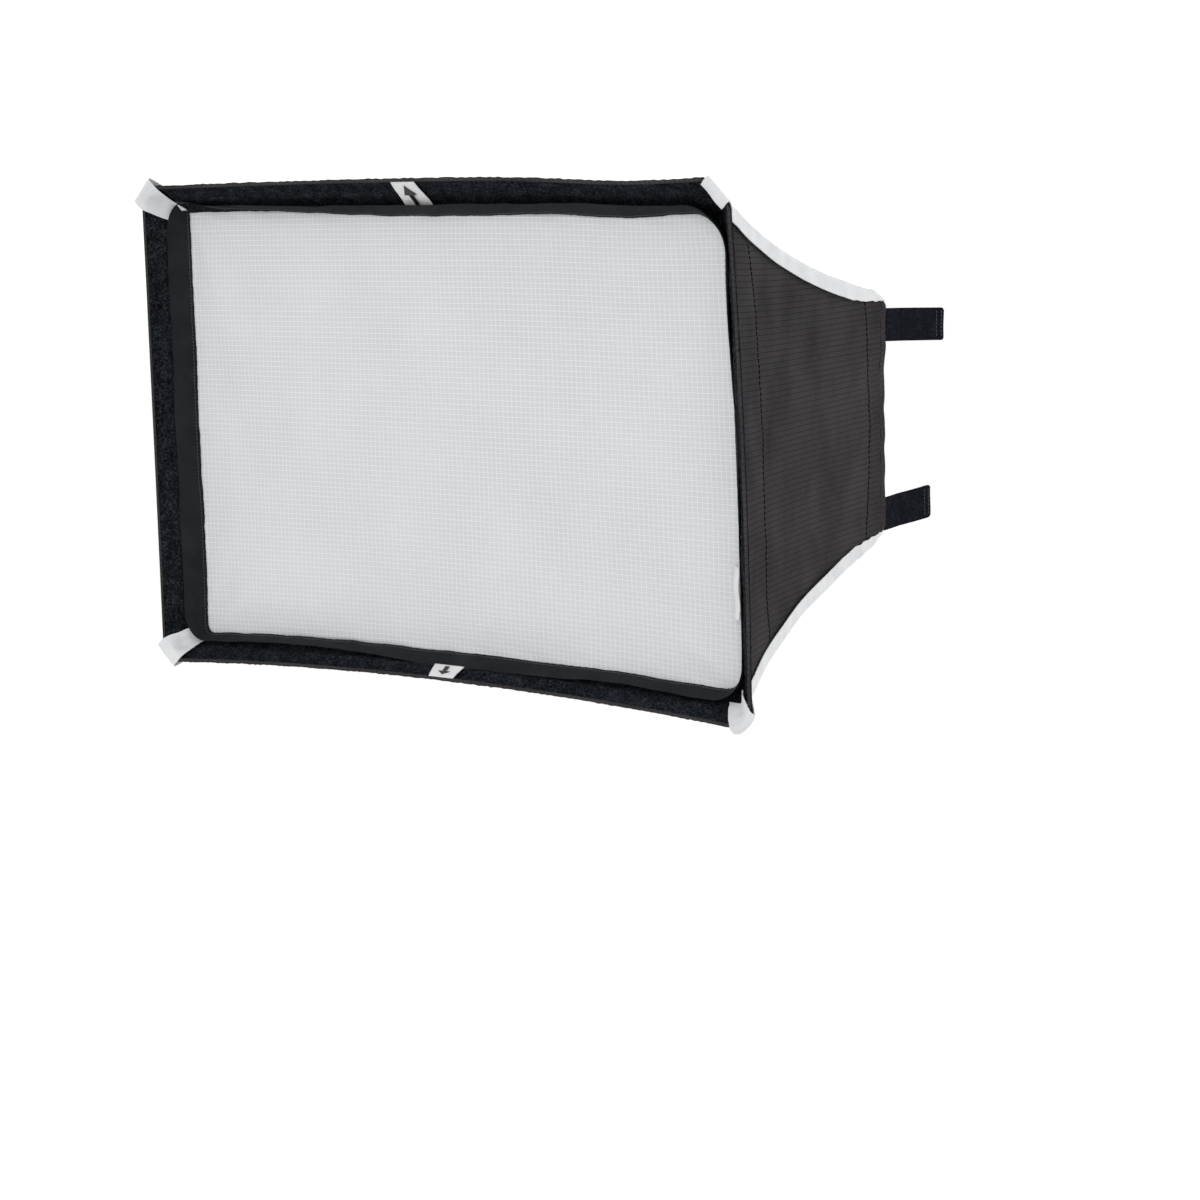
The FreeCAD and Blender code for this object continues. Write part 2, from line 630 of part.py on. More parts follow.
for side, sign in SIDES:
    tape = new_body(f"{side}_rim_tape")
    plan = new_sketch(tape, f"{side}_rim_plan", "XY_Plane")
    draw_loop(plan, rim_corners("x", sign), {})
    add_pad(tape, plan, "front_height")
    mitre = new_sketch(tape, f"{side}_rim_mitre", "YZ_Plane")
    for upward in (1, -1):
        draw_loop(mitre, turned(rim_trim("z", upward, SIDE_MITRE), "z"), {})
    add_through_pocket(tape, mitre)
    for height, upward in HEIGHTS:
        tape = new_body(f"{height}_rim_tape_{side}_half")
        profile = new_sketch(tape, f"{height}_{side}_rim_profile", "YZ_Plane")
        fold_face = FreeCAD.Vector(0, 0, sign * FOLD_GAP / 2)
        profile.AttachmentOffset = FreeCAD.Placement(fold_face, FreeCAD.Rotation())
        draw_loop(profile, turned(rim_corners("z", upward), "z"), {})
        add_pad(tape, profile, "front_width", side="One side", flip=sign < 0)
        mitre = new_sketch(tape, f"{height}_{side}_rim_mitre", "XY_Plane")
        draw_loop(mitre, rim_trim("x", sign, LEVEL_MITRE), {})
        add_through_pocket(tape, mitre)


# ---------------------------------------------------------------- the diffuser that sits in the rim

def frustum(name, inset, front, rear):
    """A solid that tapers with the rim tape, at an inset from the tape's inner face."""
    thing = doc.addObject("Part::Wedge", name)
    for letter, way in (("X", "x"), ("Z", "z")):
        for prefix, depth in ((letter, front), (letter + "2", rear)):
            half = rim_line(way, f"rim_thickness + {inset}", depth)
            thing.setExpression(prefix + "min", bound(f"-{half}"))
            thing.setExpression(prefix + "max", bound(half))
    thing.setExpression("Ymin", bound(f"-(depth - ({front}))"))
    thing.setExpression("Ymax", bound(f"-(depth - ({rear}))"))
    return thing


RING_PAST = "2"
HOOK_FRONT = "border_depth + 2"
HOOK_REAR = "rim_end - 1"


def ring(name, gap, thickness, front, rear):
    outside = frustum(name + "_outside", gap, front, rear)
    inside_inset = f"{gap} + {thickness}"
    inside = frustum(name + "_inside", inside_inset, f"{front} - {RING_PAST}", f"{rear} + {RING_PAST}")
    return cut(name, outside, [inside])


keep("diffuser_hook_tape", ring("hook_ring", "hook_gap", "hook_thickness", HOOK_FRONT, HOOK_REAR))
border = ring("border_ring", "border_gap", "border_thickness", "border_depth", "cloth_depth")
keep("diffuser_border", border)
CLOTH_HALF_X = rim_line("x", "rim_thickness + border_gap", "cloth_depth")
CLOTH_HALF_Z = rim_line("z", "rim_thickness + border_gap", "cloth_depth")
cloth_low = (f"-{CLOTH_HALF_X}", "-(depth - cloth_depth)", f"-{CLOTH_HALF_Z}")
cloth_size = (f"2 * {CLOTH_HALF_X}", "cloth_thickness", f"2 * {CLOTH_HALF_Z}")
keep("diffuser_cloth", box("cloth", cloth_low, cloth_size))


# ---------------------------------------------------------------- labels at the two fold points

LABEL_WIDTH = 30
LABEL_LENGTH = 15
LABEL_THICKNESS = 0.5
LABEL_DEPTH = 8.5
LABEL_GAP = 0.6
slope = number("(rim_inset_z - rim_inset) / (rim_end - rim_start)")
tilt = math.degrees(math.atan(slope))
labels = []
for height, upward in HEIGHTS:
    label = doc.addObject("Part::Box", f"{height}_label")
    label.Length = LABEL_WIDTH
    label.Width = LABEL_LENGTH
    label.Height = LABEL_THICKNESS
    face = number(rim_line("z", f"rim_thickness + {LABEL_GAP}", str(LABEL_DEPTH)))
    middle = FreeCAD.Vector(0, -(number("depth") - LABEL_DEPTH), upward * face)
    lean = FreeCAD.Rotation(FreeCAD.Vector(1, 0, 0), -upward * tilt)
    corner = FreeCAD.Vector(-LABEL_WIDTH / 2, -LABEL_LENGTH / 2, -LABEL_THICKNESS / 2)
    label.Placement = FreeCAD.Placement(middle + lean.multVec(corner), lean)
    labels.append(label)
keep("fold_labels", fuse("labels", labels))


# ---------------------------------------------------------------- straps that hold the lamp

def strap(side, sign, place, length, low_z):
    """A flat strap that runs back from its fold line and leans outwards."""
    name = f"{side}_{place}_strap"
    fold_x = f"{sign} * (start_x - strap_inset)"
    web_low = (f"{fold_x} - strap_thickness / 2", "strap_root", low_z)
    web = box(name + "_web", web_low, ("strap_thickness", f"{length} - strap_root", "strap_width"))
    root_low = (fold_x, "strap_root", low_z)
    root = upright_cylinder(name + "_root", "strap_thickness / 2", "strap_width", root_low)
    whole = fuse(name + "_solid", [web, root])
    fold_line = FreeCAD.Vector(number(fold_x), number("strap_root"), 0)
    lean = FreeCAD.Rotation(FreeCAD.Vector(0, 0, 1), -sign * number("strap_splay"))
    whole.Placement = FreeCAD.Placement(FreeCAD.Vector(), lean, fold_line)
    keep(name, whole)


for side, sign in SIDES:
    strap(side, sign, "upper", "upper_strap", "start_z - upper_strap_drop - strap_width")
    strap(side, sign, "lower", "lower_strap", "lower_strap_rise - start_z")


# ---------------------------------------------------------------- checks and files

doc.recompute()
for thing in doc.Objects:
    if "Invalid" in thing.State or "Error" in thing.State:
        raise RuntimeError(f"{thing.Name} did not build: {thing.State}")
for name, thing in parts.items():
    if thing.Shape.isNull() or not thing.Shape.isValid() or not thing.Shape.Solids:
        raise RuntimeError(f"{name} has no valid solid")

os.makedirs("parts", exist_ok=True)
for name, thing in parts.items():
    thing.Shape.exportStep(f"parts/{name}.step")
print(len(parts), "parts written")
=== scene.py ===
"""A folding studio softbox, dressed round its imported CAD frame.

Metres, in the row frame: +X right, +Y back to the lamp, +Z up. The fabric is a set of sheets laid on one
trumpet shape, so that walls, tapes, rim and diffuser meet without gaps.
"""
import json
import math
import random

import bpy
import numpy as np
from mathutils import Matrix, Vector


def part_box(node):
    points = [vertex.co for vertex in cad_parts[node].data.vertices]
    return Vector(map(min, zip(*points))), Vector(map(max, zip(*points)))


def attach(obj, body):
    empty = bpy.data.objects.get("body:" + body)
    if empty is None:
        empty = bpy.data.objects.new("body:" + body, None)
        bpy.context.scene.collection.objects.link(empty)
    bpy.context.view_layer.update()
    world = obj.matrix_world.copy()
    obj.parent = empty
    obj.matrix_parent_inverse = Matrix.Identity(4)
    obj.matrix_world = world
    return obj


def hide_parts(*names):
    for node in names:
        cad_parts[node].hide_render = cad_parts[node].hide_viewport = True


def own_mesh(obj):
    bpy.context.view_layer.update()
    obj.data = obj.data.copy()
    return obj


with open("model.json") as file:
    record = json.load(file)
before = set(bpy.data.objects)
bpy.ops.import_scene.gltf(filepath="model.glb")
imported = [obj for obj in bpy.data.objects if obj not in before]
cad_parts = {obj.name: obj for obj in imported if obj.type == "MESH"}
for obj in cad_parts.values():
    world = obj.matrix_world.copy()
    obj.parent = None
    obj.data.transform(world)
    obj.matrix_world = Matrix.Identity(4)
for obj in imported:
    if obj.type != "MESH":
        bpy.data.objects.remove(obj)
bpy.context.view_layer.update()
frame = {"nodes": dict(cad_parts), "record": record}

SIDES = (("left", -1), ("right", 1))
HEIGHTS = (("top", 1), ("bottom", -1))
HALF_SPAN = {"left": (-1, 0), "right": (0, 1)}

# The trumpet shape, as half sizes about the Y axis. The front and the depth come from the frame.
REAR_X, REAR_Z = 0.165, 0.120
FLARE_X, FLARE_Z = 0.326, 0.210
FRONT_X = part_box("right_side_panel")[1].x
FRONT_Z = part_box("top_panel_left_half")[1].z
DEPTH = -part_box("right_side_panel")[0].y
LIP = 0.030
MAIN = DEPTH - LIP
BOW = 0.085
HOLLOW = 0.005

# The rim slopes back and in from the lip's edge, and the diffuser sits on its inner part.
RIM_X, RIM_Z, RIM_Y = 0.034, 0.030, 0.032
BORDER_OUTER = Vector((0.3320, -0.4720, 0.2105))
BORDER_INNER = Vector((0.3195, -0.4580, 0.2025))

# How the hung cloth sits, against the straight frame: leans, twist, sag and how each front edge bows.
LEAN_Z, LEAN_X, TWIST = -0.025, 0.015, -0.026
FORWARD = 0.005
SAG = 0.005
EDGE_BOW = {"top": 0.0030, "bottom": -0.0130, "right": 0.005, "left": -0.0005}
LOW_RIGHT_SPREAD = 0.004
TOP_DROOP, TOP_DROOP_AT, TOP_DROOP_RUN = 0.0045, 0.24, 0.09

# The corner tapes, the cut corners of the front edge, the hems and the rows of stitches.
TAPE_REACH = 0.015
TAPE_ROUND = 0.0026
CORNER_RUN = 0.055
CORNER_POWER = 1.35
EDGE_ROLL = 0.0016
SEAM_FRONT, SEAM_FRONT_TURN = 0.133, 0.045
SEAM_REAR, SEAM_REAR_TURN = 0.038, 0.014
LIP_SEAM = 0.038
SEAM_BAND = 0.004

# For each corner: how much is cut off, how far its tape runs into the rim, and how flat the tape lies.
CORNERS = {
    (-1, 1): (0.009, 0.60, 1.0),
    (-1, -1): (0.016, 0.62, 0.9),
    (1, 1): (0.026, 0.14, 0.9),
    (1, -1): (0.011, 0.50, 0.45),
}


def stacked(*parts):
    """Points from their separate x, y and z, or places on a cloth from across and along."""
    return np.stack(np.broadcast_arrays(*parts), axis=-1)


def half_size(near, far, front, depth):
    """Half width or height at a depth: a round arc to the lip, and then the straight lip."""
    chord = math.hypot(far - near, MAIN)
    sagitta = BOW * (far - near)
    radius = (chord**2 / 4 + sagitta**2) / (2 * sagitta)
    centre = (near + far) / 2 + MAIN / chord * (radius - sagitta)
    centre_depth = MAIN / 2 - (far - near) / chord * (radius - sagitta)
    on_arc = centre - np.sqrt(radius**2 - (np.minimum(depth, MAIN) - centre_depth) ** 2)
    on_lip = far + (front - far) * (np.minimum(depth, DEPTH) - MAIN) / LIP
    return np.where(depth <= MAIN, on_arc, on_lip)


def half_x(depth):
    return half_size(REAR_X, FLARE_X, FRONT_X, depth)


def half_z(depth):
    return half_size(REAR_Z, FLARE_Z, FRONT_Z, depth)


def corner_radius(x, y, z):
    """How far the corner edges are drawn in: by the cut corners in front, and by the lamp behind."""
    depth = np.clip(-y, 0, DEPTH)
    near_front = np.clip((depth - DEPTH + CORNER_RUN) / CORNER_RUN, 0, 1)
    cut = np.zeros(np.shape(x))
    for (sign, upward), (amount, *_) in CORNERS.items():
        cut = np.where((x * sign > 0) & (z * upward > 0), amount, cut)
    return 0.0005 + cut * near_front**1.5 + 0.012 * np.exp(-depth / 0.025)


def draw_in(from_x, from_z, power):
    """The share by which points in a corner's square move in, so that the corner turns round."""
    inside = (from_x > 0) & (from_z > 0)
    length = (from_x**power + from_z**power) ** (1 / power)
    return np.where(inside, np.maximum(from_x, from_z) / np.where(inside, length, 1) - 1, 0)


def round_corners(x, y, z):
    """Draws the shape's four corner edges in."""
    depth = np.clip(-y, 0, DEPTH)
    radius = corner_radius(x, y, z)
    from_x = np.maximum(np.abs(x) - half_x(depth) + radius, 0)
    from_z = np.maximum(np.abs(z) - half_z(depth) + radius, 0)
    shrink = draw_in(from_x, from_z, CORNER_POWER)
    return x + np.sign(x) * from_x * shrink, z + np.sign(z) * from_z * shrink


def settle(points, cut_corners=True):
    """Moves points on the straight shape to where the hung cloth lies."""
    x, y, z = points[..., 0], points[..., 1], points[..., 2]
    if cut_corners:
        x, z = round_corners(x, y, z)
    u = np.clip(-y / DEPTH, 0, 1.1)
    near_front = u**3
    across_x = np.clip(1 - (x / FRONT_X) ** 2, 0, 1)
    across_z = np.clip(1 - (z / FRONT_Z) ** 2, 0, 1)
    to_right = np.clip(0.5 + x / (2 * FRONT_X), 0, 1)
    downward = np.clip(0.5 - z / (2 * FRONT_Z), 0, 1)
    rise = np.where(z > 0, EDGE_BOW["top"], -EDGE_BOW["bottom"]) * across_x * np.abs(z) / FRONT_Z
    droop = TOP_DROOP * np.exp(-(((x - TOP_DROOP_AT) / TOP_DROOP_RUN) ** 2)) * np.clip(z / FRONT_Z, 0, 1)
    spread = np.where(x > 0, EDGE_BOW["right"], -EDGE_BOW["left"]) * across_z * np.abs(x) / FRONT_X
    spread = spread + LOW_RIGHT_SPREAD * np.clip(x / FRONT_X, 0, 1) * downward
    return stacked(
        x + spread * near_front,
        y + (LEAN_Z * z + LEAN_X * x + TWIST * z * to_right - FORWARD) * u,
        z + (rise - droop) * near_front - SAG * 4 * np.clip(u * (1 - u), 0, 1),
    )


def ripple(points, wavelength, seed, stretch=(1, 1, 1)):
    """Smooth seeded waves through space, from about -1 to 1. A stretch above 1 draws them out that way."""
    draw = random.Random(seed)
    total = np.zeros(points.shape[:-1])
    waves = 8
    for _ in range(waves):
        heading = np.array([draw.gauss(0, 1) for _ in range(3)])
        heading *= 2 * math.pi / (wavelength * np.linalg.norm(heading) * draw.uniform(0.7, 1.5))
        total += np.sin(points @ (heading / np.array(stretch)) + draw.uniform(0, 2 * math.pi))
    return total / math.sqrt(waves)


# ---- materials


class Shader:
    """A procedural material: a small set of node helpers round one Principled shader."""

    def __init__(self, name, roughness, metallic=0.0, gloss=0.5):
        self.material = bpy.data.materials.new(name)
        self.material.use_nodes = True
        self.tree = self.material.node_tree
        self.shader = self.tree.nodes["Principled BSDF"]
        for label, value in (("Roughness", roughness), ("Metallic", metallic), ("Specular IOR Level", gloss)):
            self.shader.inputs[label].default_value = value
        self.where = self.add("TexCoord")

    def add(self, kind):
        return self.tree.nodes.new(f"ShaderNode{kind}")

    def feed(self, socket, value):
        if isinstance(value, bpy.types.NodeSocket):
            self.tree.links.new(value, socket)
        else:
            socket.default_value = value

    def maths(self, operation, first, second=0.0, third=0.0, clamp=False):
        node = self.add("Math")
        node.operation = operation
        node.use_clamp = clamp
        for socket, value in zip(node.inputs, (first, second, third)):
            self.feed(socket, value)
        return node.outputs[0]

    def noise(self, scale, detail=3.0, stretch=(1, 1, 1)):
        """Noise through the object's own space. A larger stretch means finer that way."""
        mapping = self.add("Mapping")
        mapping.inputs["Scale"].default_value = stretch
        self.feed(mapping.inputs["Vector"], self.where.outputs["Object"])
        node = self.add("TexNoise")
        node.inputs["Scale"].default_value = scale
        node.inputs["Detail"].default_value = detail
        self.feed(node.inputs["Vector"], mapping.outputs[0])
        return node.outputs[0]

    def cloth_axes(self):
        """The piece's own two directions on the flat cloth, in metres."""
        node = self.add("SeparateXYZ")
        self.feed(node.inputs[0], self.where.outputs["UV"])
        return node.outputs[0], node.outputs[1]

    def lines(self, position, pitch, width):
        """Thin lines along one direction: 1 on a line, 0 between."""
        distance = self.maths("PINGPONG", position, pitch / 2)
        return self.maths("SUBTRACT", 1.0, self.maths("DIVIDE", distance, width / 2), clamp=True)

    def mix(self, factor, low, high):
        node = self.add("Mix")
        node.data_type = "RGBA"
        self.feed(node.inputs["Factor"], factor)
        for label, colour in (("A", low), ("B", high)):
            socket = next(s for s in node.inputs if s.name == label and s.type == "RGBA")
            self.feed(socket, colour if isinstance(colour, bpy.types.NodeSocket) else (*colour, 1))
        return next(s for s in node.outputs if s.type == "RGBA")

    def spread(self, value, low, high):
        """A noise value moved to between low and high."""
        node = self.add("MapRange")
        for label, edge in (("From Min", 0.3), ("From Max", 0.7), ("To Min", low), ("To Max", high)):
            node.inputs[label].default_value = edge
        self.feed(node.inputs["Value"], value)
        return node.outputs[0]

    def finish(self, colour, height, relief, strength=1.0, roughness=None):
        """Sets the colour and a bump of the given relief in metres."""
        self.feed(self.shader.inputs["Base Color"], colour)
        if roughness is not None:
            self.feed(self.shader.inputs["Roughness"], roughness)
        bump = self.add("Bump")
        bump.inputs["Strength"].default_value = strength
        bump.inputs["Distance"].default_value = relief
        self.feed(bump.inputs["Height"], height)
        self.feed(self.shader.inputs["Normal"], bump.outputs[0])
        return self.material


WEAVE_PITCH = 0.0009


def ripstop(name, dark, light, thread, pitch, line_width, roughness, gloss, dashes=None, faint=1.0):
    """Ripstop cloth: a fine plain weave with a grid of thicker threads."""
    made = Shader(name, roughness, gloss=gloss)
    across, along = made.cloth_axes()
    grid_across = made.lines(across, pitch[0], line_width)
    grid_along = made.lines(along, pitch[1], line_width)
    if dashes:
        grid_across = made.maths("MULTIPLY", grid_across, made.lines(along, dashes, dashes * 1.5))
        grid_along = made.maths("MULTIPLY", grid_along, made.lines(across, dashes, dashes * 1.5))
    grid_along = made.maths("MULTIPLY", grid_along, faint)
    grid = made.maths("MAXIMUM", grid_across, grid_along)
    weave = made.maths("MAXIMUM", *(made.lines(way, WEAVE_PITCH, WEAVE_PITCH) for way in (across, along)))
    cloudy = made.spread(made.noise(14, 4), 0, 1)
    speckle = made.spread(made.noise(900, 2), 0, 1)
    shade = made.maths("MULTIPLY_ADD", speckle, 0.5, made.maths("MULTIPLY", cloudy, 0.5))
    colour = made.mix(grid, made.mix(shade, dark, light), thread)
    height = made.maths("MULTIPLY_ADD", weave, 0.25, grid)
    rough = made.maths("MULTIPLY_ADD", cloudy, 0.12, roughness - 0.06)
    return made.finish(colour, height, 0.00025, 0.6, rough)


def pile(name, dark, light, relief=0.0006, gloss=0.04, roughness=0.95):
    """Loop or hook tape: a short dense pile."""
    made = Shader(name, roughness, gloss=gloss)
    tufts = made.spread(made.noise(520, 4), 0, 1)
    patches = made.spread(made.noise(90, 4), 0, 1)
    worn = made.maths("MULTIPLY_ADD", tufts, 0.7, made.maths("MULTIPLY", patches, 0.3))
    return made.finish(made.mix(made.maths("POWER", worn, 2.2), dark, light), worn, relief, 0.9)


def woven_tape(name, dark, light, rib, roughness=0.8, gloss=0.2, relief=0.00025):
    """Narrow woven tape with fine ribs across it."""
    made = Shader(name, roughness, gloss=gloss)
    across, along = made.cloth_axes()
    ribs = made.lines(along, rib, rib)
    cross = made.lines(across, rib * 1.4, rib * 1.4)
    cloudy = made.spread(made.noise(40, 4), 0, 1)
    height = made.maths("MULTIPLY_ADD", cross, 0.5, ribs)
    shade = made.maths("MULTIPLY_ADD", height, 0.25, made.maths("MULTIPLY", cloudy, 0.6))
    return made.finish(made.mix(shade, dark, light), height, relief, 0.7)


def silver(name):
    """A crinkled metallic coating on cloth."""
    made = Shader(name, 0.38, metallic=0.85)
    crinkle = made.noise(55, 6)
    fine = made.noise(420, 3)
    height = made.maths("MULTIPLY_ADD", fine, 0.25, crinkle)
    colour = made.mix(made.spread(crinkle, 0, 1), (0.50, 0.51, 0.53), (0.78, 0.79, 0.81))
    return made.finish(colour, height, 0.0015, 0.8, made.spread(fine, 0.3, 0.48))


def moulded(name, dark, light, roughness, grain=900, metallic=0.0, stretch=(1, 1, 1), gloss=0.5):
    """Plastic, fibreglass or metal with a fine grain."""
    made = Shader(name, roughness, metallic=metallic, gloss=gloss)
    fine = made.noise(grain, 3, stretch)
    smudge = made.spread(made.noise(35, 4), 0, 1)
    shade = made.maths("MULTIPLY_ADD", made.spread(fine, 0, 1), 0.4, made.maths("MULTIPLY", smudge, 0.6))
    rough = made.maths("MULTIPLY_ADD", smudge, 0.15, roughness - 0.07)
    return made.finish(made.mix(shade, dark, light), fine, 0.0001, 0.5, rough)


SHELL_GRID, DIFFUSER_GRID = (0.0052, 0.0062), (0.0052, 0.0047)
MADE = (
    ripstop(
        "shell_ripstop", (0.0225, 0.0212, 0.0222), (0.0620, 0.0585, 0.0610), (0.0070, 0.0066, 0.0070),
        SHELL_GRID, 0.0011, 0.8, 0.0, 0.0024, 0.38,
    ),
    ripstop(
        "diffuser_cloth", (0.535, 0.55, 0.562), (0.595, 0.608, 0.62), (0.735, 0.745, 0.755),
        DIFFUSER_GRID, 0.0011, 0.75, 0.3,
    ),
    silver("silver_lining"),
    pile("loop_tape", (0.0008, 0.0011, 0.0017), (0.038, 0.044, 0.053)),
    pile("hook_tape", (0.006, 0.006, 0.007), (0.020, 0.020, 0.023), gloss=0.3, roughness=0.6),
    pile("strap_webbing", (0.004, 0.0045, 0.007), (0.020, 0.022, 0.030), relief=0.0004),
    woven_tape("white_tape", (0.58, 0.59, 0.60), (0.74, 0.745, 0.75), 0.0008),
    woven_tape("border_tape", (0.0075, 0.0083, 0.0098), (0.0190, 0.0200, 0.0230), 0.0007, gloss=0.12),
    woven_tape("label_white", (0.68, 0.68, 0.68), (0.80, 0.80, 0.80), 0.0006, roughness=0.5),
    moulded("frame_rod", (0.012, 0.012, 0.013), (0.03, 0.03, 0.032), 0.4, stretch=(1, 1, 0.1)),
    moulded("joint_plastic", (0.012, 0.012, 0.013), (0.028, 0.028, 0.03), 0.5),
    moulded("batten_plastic", (0.62, 0.62, 0.60), (0.72, 0.72, 0.70), 0.5),
    moulded("hinge_steel", (0.42, 0.42, 0.44), (0.62, 0.62, 0.64), 0.32, metallic=1.0),
)
# Blender adds a number to a name that the frame has taken.
MATERIALS = {material.name.split(".")[0]: material for material in MADE}
BLACK_THREAD = moulded("black_thread", (0.002, 0.002, 0.002), (0.006, 0.006, 0.007), 0.9, 1500, gloss=0.0)
GREY_THREAD = moulded("grey_thread", (0.05, 0.05, 0.055), (0.11, 0.11, 0.12), 0.6, 1500)
PALE_THREAD = moulded("pale_thread", (0.28, 0.28, 0.28), (0.42, 0.42, 0.42), 0.7, 1500)
WHITE_THREAD = moulded("white_thread", (0.58, 0.58, 0.58), (0.75, 0.75, 0.75), 0.7, 1500)
PRINT_INK = moulded("print_ink", (0.008, 0.008, 0.009), (0.02, 0.02, 0.021), 0.5, 700)


# ---- mesh helpers


def mesh_object(name, points, faces, material, uv=None):
    """A smooth mesh from points, faces and, per point, a place on the flat cloth."""
    mesh = bpy.data.meshes.new(name)
    mesh.from_pydata(np.asarray(points, float).reshape(-1, 3).tolist(), [], faces)
    mesh.validate()
    mesh.polygons.foreach_set("use_smooth", [True] * len(mesh.polygons))
    if uv is not None:
        layer = mesh.uv_layers.new(name="cloth")
        corners = np.zeros(len(mesh.loops), np.int32)
        mesh.loops.foreach_get("vertex_index", corners)
        layer.data.foreach_set("uv", np.asarray(uv, float).reshape(-1, 2)[corners].ravel())
    mesh.materials.append(material)
    made = bpy.data.objects.new(name, mesh)
    bpy.context.scene.collection.objects.link(made)
    return made


def grid(name, points, material, uv=None, ring=False, flip=False):
    """A sheet over a grid of points. A ring joins its last column to its first."""
    rows, columns = points.shape[:2]
    if uv is None:
        uv = flat_places(points)
    faces = []
    for r in range(rows - 1):
        for c in range(columns if ring else columns - 1):
            d = (c + 1) % columns
            face = [r * columns + c, r * columns + d, (r + 1) * columns + d, (r + 1) * columns + c]
            faces.append(face[::-1] if flip else face)
    return mesh_object(name, points, faces, material, uv)


def flat_places(points):
    """Distances along the rows and columns of a sheet, for its weave."""
    down = np.cumsum(np.linalg.norm(np.diff(points, axis=0, prepend=points[:1]), axis=-1), axis=0)
    over = np.cumsum(np.linalg.norm(np.diff(points, axis=1, prepend=points[:, :1]), axis=-1), axis=1)
    return stacked(over, down)


def thicken(piece, thickness, offset=-1.0):
    """Gives a sheet its two surfaces: behind its points, or half on each side at an offset of 0."""
    solid = piece.modifiers.new("thickness", "SOLIDIFY")
    solid.thickness = thickness
    solid.offset = offset


def place(piece, body, stands_for=(), fold=None):
    """Rides a piece on its body and hides the frame parts it stands for. A piece with a fold of left or right
    gets a mesh of its own.
    """
    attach(piece, body)
    if stands_for:
        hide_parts(*stands_for)
    if fold:
        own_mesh(piece)


def stitches(name, path, outward, material, dash=0.0030, gap=0.0012, width=0.0006, height=0.00035):
    """A row of thread dashes that lie on a path, as one mesh."""
    path = np.asarray(path, float)
    outward = np.broadcast_to(np.asarray(outward, float), path.shape)
    steps = np.linalg.norm(np.diff(path, axis=0), axis=1)
    run = np.concatenate([[0], np.cumsum(steps)])

    def at(distance):
        return np.array([np.interp(distance, run, path[:, k]) for k in range(3)])

    points, faces = [], []
    for start in np.arange(gap, run[-1] - dash, dash + gap):
        stations = [at(start), at(start + dash / 2), at(start + dash)]
        heading = stations[2] - stations[0]
        heading /= max(np.linalg.norm(heading), 1e-9)
        up = np.array([np.interp(start, run, outward[:, k]) for k in range(3)])
        side = np.cross(heading, up)
        side /= max(np.linalg.norm(side), 1e-9)
        up = np.cross(side, heading)
        first = len(points)
        for station, rise in zip(stations, (-0.2, 1.0, -0.2)):
            for s, h in ((-0.5, 0.0), (-0.3, 1.0), (0.3, 1.0), (0.5, 0.0)):
                points.append(station + side * s * width + up * height * (h * 0.8 + rise * 0.6))
        for k in range(2):
            a = first + 4 * k
            for c in range(4):
                d = (c + 1) % 4
                faces.append([a + c, a + d, a + 4 + d, a + 4 + c])
        faces.append([first + 3, first + 2, first + 1, first])
        faces.append([first + 8, first + 9, first + 10, first + 11])
    return mesh_object(name, points, faces, material)


def tube(name, path, radius, material, sides=10):
    """A round cord along a path of points."""
    path = np.asarray(path, float)
    tangent = np.gradient(path, axis=0)
    tangent /= np.linalg.norm(tangent, axis=1)[:, None]
    helper = np.array([0.0, 0.0, 1.0]) if abs(tangent[0][2]) < 0.9 else np.array([1.0, 0.0, 0.0])
    side = np.cross(tangent, helper)
    side /= np.linalg.norm(side, axis=1)[:, None]
    up = np.cross(side, tangent)
    angles = np.linspace(0, 2 * math.pi, sides, endpoint=False)
    round_it = side[:, None] * np.cos(angles)[None, :, None] + up[:, None] * np.sin(angles)[None, :, None]
    return grid(name, path[:, None] + round_it * radius, material, ring=True)


# ---- the trumpet's walls


def wall(face, depth, across, lift=0.0):
    """Points on a wall: depth from the rear edge, across from -1 to 1 between its corner lines."""
    x, z = half_x(depth), half_z(depth)
    u = np.clip(depth / DEPTH, 0, 1)
    drawn_in = HOLLOW * (1 - across**2) * 4 * u * (1 - u)
    sign = 1 if face in ("right", "top") else -1
    if upright(face):
        points = [sign * (x - drawn_in + lift), -depth + 0 * across, across * z]
    else:
        points = [across * x, -depth + 0 * across, sign * (z - drawn_in + lift)]
    return stacked(*points)


def front_seam(across):
    return DEPTH - SEAM_FRONT + SEAM_FRONT_TURN * np.clip(across, 0, 1) ** 2


def rear_seam(across):
    return SEAM_REAR + SEAM_REAR_TURN * across**2


def lip_seam(across):
    return DEPTH - LIP_SEAM + 0 * across


def creases(points, depth, face):
    """How far the cloth stands off the smooth wall: soft waves, and puckers along its seams."""
    seed = {"left": 11, "right": 23, "top": 37, "bottom": 51}[face]
    across = points[..., 2] / half_z(depth) if upright(face) else points[..., 0] / half_x(depth)
    soft = ripple(points, 0.16, seed, (1, 1.6, 1)) * 0.0011
    soft = soft + ripple(points, 0.055, seed + 1, (1, 3, 1)) * 0.0004
    edges = np.clip(depth / 0.03, 0, 1) * np.clip((DEPTH - depth) / 0.02, 0, 1)
    pucker = ripple(points, 0.014, seed + 2) * 0.0004
    gather = ripple(points, 0.030, seed + 3, (1, 4, 1)) * 0.0008 * np.exp(-((depth / 0.035) ** 2))
    near_seam, groove = 0.0, 0.0
    for seam in (rear_seam, front_seam, lip_seam):
        off = depth - seam(across)
        near_seam = near_seam + np.exp(-((off / 0.010) ** 2))
        groove = groove + np.exp(-((off / 0.0020) ** 2))
    return soft * edges + pucker * near_seam * edges + gather - 0.0006 * groove


